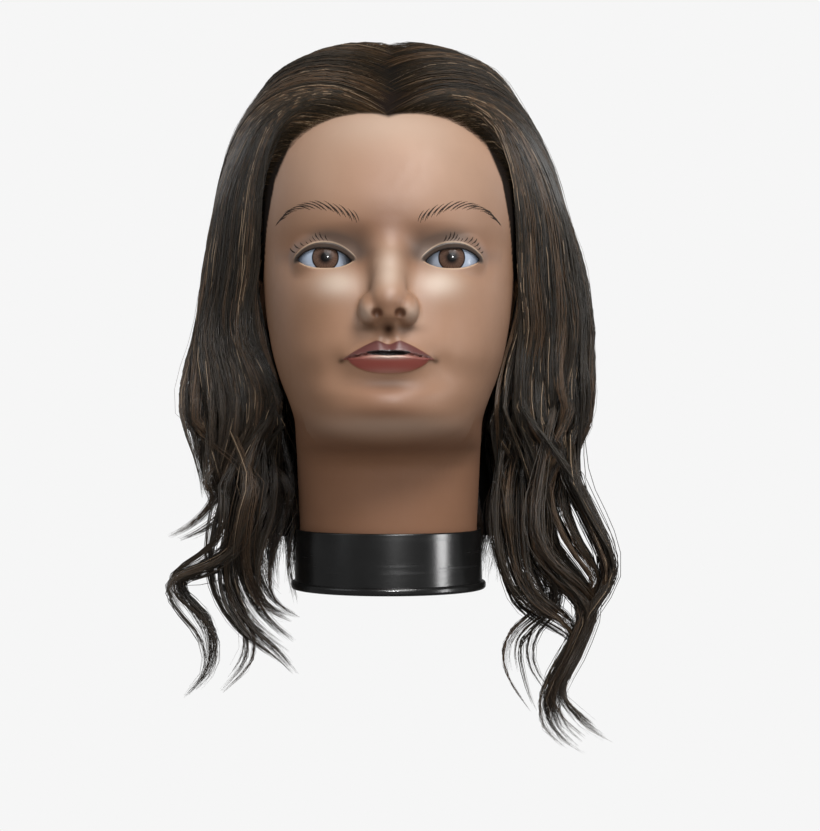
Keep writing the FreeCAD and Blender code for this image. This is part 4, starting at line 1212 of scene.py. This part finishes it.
def make_hair_shadow_sheets(side, word, material):
    """A dark sheet within the hanging hair, painted shade for the hair's depth, so that no light comes
    through it.
    """
    for body, low, high in ((word + "_curtain", 0.14, BACK_SHARE), ("back_curtain", BACK_SHARE, 1.0)):
        shares = np.linspace(low, high, 60)
        rows = np.linspace(0, 1, 36)
        foot = 26.0 + 62.0 * smoothstep(0.42, 0.22, shares)
        z = 200 + (foot[:, None] - 200) * rows[None, :]
        share = np.broadcast_to(shares[:, None], z.shape)
        # The right-hand sheet is a mirror image, so its faces turn outwards from the inner layer first.
        layers = (0.42, 0.25)[::-side]
        first, second = (hang_point(side, share, np.full(z.shape, layer), z) for layer in layers)
        obj = make_mesh("hair_mass_%s_%s" % (word, body.split("_")[0]), *closed_shell(first, second))
        obj.data.materials.append(material)
        bend_at_hinge(obj)


def make_crown_shadow_cap(material):
    """A dark cap under the crown's hair, painted shade for the hair's depth, which fades into the scalp at
    its rim.
    """
    share = np.linspace(0.01, 1, 24)[:, None]
    turn = np.linspace(0, 2 * math.pi, 61)[None, :-1]
    tilt = share * CROWN_SPREAD
    y, z = np.sin(tilt) * np.sin(turn), np.cos(tilt) * np.ones(turn.shape)
    lean_y = y * math.cos(CROWN_LEAN) + z * math.sin(CROWN_LEAN)
    lean_z = z * math.cos(CROWN_LEAN) - y * math.sin(CROWN_LEAN)
    path = np.stack([np.sin(tilt) * np.cos(turn), lean_y, lean_z], -1)
    scalp = reach_along(path, inside_scalp)
    outside = reach_along(path, lambda x, y, z: np.maximum(envelope_field(1, x, y, z),
                                                           envelope_field(-1, x, y, z)) < 1)
    outer = scalp + (outside - scalp) * CROWN_DEPTH * smoothstep(1.0, 0.6, share)
    layers = [HEAD_MIDDLE + path * reach[..., None] for reach in (outer, scalp - 1.0)]
    obj = make_mesh("hair_shadow_sheet_crown", *closed_shell(*layers, ring=True))
    obj.data.materials.append(material)
    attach(obj, "head")


def hair_material():
    n = Nodes("dark_brown_hair")
    tint, place = n.attribute("tint"), n.attribute("along")
    n.set("Base Color", n.layers(n.mix(n.ramp(tint, 0.0, 0.55), HAIR_DARK, HAIR_BROWN), [
        (n.ramp(tint, 0.72, 0.96), HAIR_LIGHT),
        (n.times(n.ramp(place, 0.6, 1.0), 0.4), HAIR_TIP),
        # The painted highlight on those few strands.
        (n.ramp(tint, 1.1, 1.3), HAIR_HIGHLIGHT),
    ]))
    n.set("Roughness", 0.42)
    n.set("Specular IOR Level", n.ramp(place, 0.02, 0.12, 0.0, 0.4))
    return n.material


# Near-black, for the sheets and cap that paint the shade deep inside the hair.
def hair_shadow_material():
    n = Nodes("hair_shadow")
    n.set("Base Color", n.mix(n.ramp(n.noise(60.0, 3.0), 0.3, 0.7), linear(13, 11, 8), linear(22, 19, 14)))
    n.set("Roughness", 0.8)
    n.set("Specular IOR Level", 0.1)
    return n.material


def make_hair():
    material, under = hair_material(), hair_shadow_material()
    make_crown_shadow_cap(under)
    for side, word in ((-1, "left"), (1, "right")):
        rng = np.random.default_rng(SEED + side)
        groups = grow_hair(side, rng)
        make_hair_shadow_sheets(side, word, under)
        for part, (lines, tint) in groups.items():
            loose = flyaways(lines, rng)
            make_strand_mesh("hair_loose_%s_%s" % (word, part), loose,
                                         np.full(len(loose), FLYAWAY_TINT), FLYAWAY_WIDTH, material)
            pieces = math.ceil(len(lines) / PIECE_STRANDS)
            order = rng.permutation(len(lines))
            for i, chosen in enumerate(np.array_split(order, pieces)):
                make_strand_mesh("hair_%s_%s_%d" % (word, part, i), lines[chosen],
                                             tint[chosen], STRAND_WIDTH, material)
    hair_nodes = [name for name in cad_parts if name.startswith(("hair", "lock"))]
    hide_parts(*hair_nodes)


# --- the fittings that come from the CAD --------------------------------------------------------------
def black_plastic(name, roughness, scratches):
    n = Nodes(name)
    tone = n.ramp(n.noise(60.0, 4.0), 0.3, 0.7)
    n.set("Base Color", n.mix(tone, linear(16, 16, 16), linear(26, 26, 26)))
    stretched = n.new("ShaderNodeMapping", {"Vector": n.position(), "Scale": (14.0, 14.0, 420.0)})
    lines = n.ramp(n.noise(1.0, 5.0, stretched.outputs[0]), 0.52, 0.72)
    blotches = n.ramp(n.noise(35.0, 3.0), 0.4, 0.7)
    wear = n.times(lines, blotches)
    n.set("Roughness", n.ramp(wear, 0.0, 1.0, roughness, roughness + scratches))
    n.bump(n.noise(500.0, 2.0), 0.05, 0.0004)
    return n.material


def plain_material(name, light, dark, roughness, scale, metallic=0.0):
    n = Nodes(name)
    n.set("Base Color", n.mix(n.ramp(n.noise(scale, 4.0), 0.35, 0.65), light, dark))
    n.set("Roughness", roughness)
    n.set("Metallic", metallic)
    n.bump(n.noise(scale * 5, 3.0), 0.25, 0.0008)
    return n.material


def dress_cad_nodes():
    gloss = black_plastic("collar_plastic", 0.22, 0.18)
    satin = black_plastic("base_plastic", 0.42, 0.12)
    foam = plain_material("foam", FOAM_LIGHT, FOAM_DARK, 0.9, 300.0)
    steel = plain_material("screw_steel", linear(178, 178, 180), linear(140, 140, 144), 0.3, 400.0, 1.0)
    materials = {"neck_collar": gloss, "base_plate": satin, "socket_tube": satin, "socket_cap": satin,
                 "neck_block": foam, "base_screws": steel}
    for name, material in materials.items():
        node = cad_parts[name]
        node.data.materials.clear()
        node.data.materials.append(material)


# --- the stage ----------------------------------------------------------------------------------------
CAMERA_PLACE = (0.0, -0.950, 0.082)
CAMERA_AIM = (0.0117, 0.0, 0.0937)
CAMERA_LENS = 75.5
BACKDROP = 0.922  # linear brightness of the pale surroundings
FLOOR_Z = -0.16


def aim(obj, target):
    obj.rotation_euler = (Vector(target) - obj.location).to_track_quat("-Z", "Y").to_euler()


def make_camera():
    camera = bpy.data.objects.new("camera", bpy.data.cameras.new("camera"))
    camera.location = CAMERA_PLACE
    aim(camera, CAMERA_AIM)
    camera.data.lens = CAMERA_LENS
    camera.data.clip_start = 0.01
    bpy.context.scene.collection.objects.link(camera)
    bpy.context.scene.camera = camera


def add_light(name, place, target, size, power, colour=(1.0, 1.0, 1.0), only_shine=False, no_shine=False):
    light = bpy.data.lights.new(name, "AREA")
    light.shape = "DISK"
    light.size = size
    light.energy = power
    light.color = colour
    obj = bpy.data.objects.new(name, light)
    obj.location = place
    aim(obj, target)
    obj.visible_camera = False
    obj.visible_diffuse = not only_shine
    obj.visible_glossy = not no_shine
    bpy.context.scene.collection.objects.link(obj)


def make_lights():
    head = (0.0, 0.0, 0.18)
    add_light("key", (0.42, -0.98, 1.24), head, 0.60, 18.5, (1.0, 0.99, 0.975))
    add_light("front", (0.40, -1.25, 0.55), head, 0.80, 5.0)
    add_light("bounce", (0.15, -1.10, -0.25), head, 1.00, 2.4, no_shine=True)
    add_light("shine", (0.14, -1.25, 0.86), head, 0.70, 8.5, only_shine=True)
    add_light("catch", (0.17, -1.35, 0.36), head, 0.12, 10.0, only_shine=True)
    add_light("fill", (-1.1, -0.7, 0.5), head, 0.9, 2.2, (0.94, 0.97, 1.0))
    add_light("strip", (1.15, -0.45, 0.05), (0.0, 0.0, 0.02), 0.34, 5.5, only_shine=True)
    add_light("crown", (0.0, 0.35, 1.3), head, 0.8, 1.3)
    add_light("rim_left", (-1.0, 0.7, 0.6), head, 0.6, 1.6, only_shine=True)
    add_light("rim_right", (1.0, 0.6, 0.5), head, 0.6, 2.4, only_shine=True)


def make_world():
    world = bpy.data.worlds.new("studio")
    world.use_nodes = True
    tree = world.node_tree
    shown = tree.nodes["Background"]
    shown.inputs["Color"].default_value = (BACKDROP, BACKDROP, BACKDROP, 1.0)
    soft = tree.nodes.new("ShaderNodeBackground")
    soft.inputs["Color"].default_value = (1.0, 1.0, 1.0, 1.0)
    soft.inputs["Strength"].default_value = 0.20
    path = tree.nodes.new("ShaderNodeLightPath")
    mix = tree.nodes.new("ShaderNodeMixShader")
    tree.links.new(path.outputs["Is Camera Ray"], mix.inputs["Fac"])
    tree.links.new(soft.outputs[0], mix.inputs[1])
    tree.links.new(shown.outputs[0], mix.inputs[2])
    tree.links.new(mix.outputs[0], tree.nodes["World Output"].inputs["Surface"])
    bpy.context.scene.world = world
    bpy.context.scene.view_settings.view_transform = "Standard"


def make_floor():
    size = 6.0
    corners = np.array([[-size, -size, 0], [size, -size, 0], [size, size, 0], [-size, size, 0]])
    points = corners / MM + [0, 0, FLOOR_Z / MM]
    floor = make_mesh("floor", points, [np.array([[0, 1, 2, 3]])], smooth=False)
    n = Nodes("pale_floor")
    n.set("Base Color", (0.0, 0.0, 0.0, 1.0))
    n.set("Specular IOR Level", 0.0)
    n.set("Emission Color", (BACKDROP, BACKDROP, BACKDROP, 1.0))
    n.set("Emission Strength", 1.0)
    floor.data.materials.append(n.material)
    floor.visible_diffuse = False
    floor.visible_glossy = False
    floor.visible_shadow = False


def main():
    make_camera()
    make_lights()
    make_world()
    make_floor()
    skin = make_skin()
    make_foam()
    make_eyes()
    make_brows_and_lashes(skin)
    make_hair()
    dress_cad_nodes()


main()
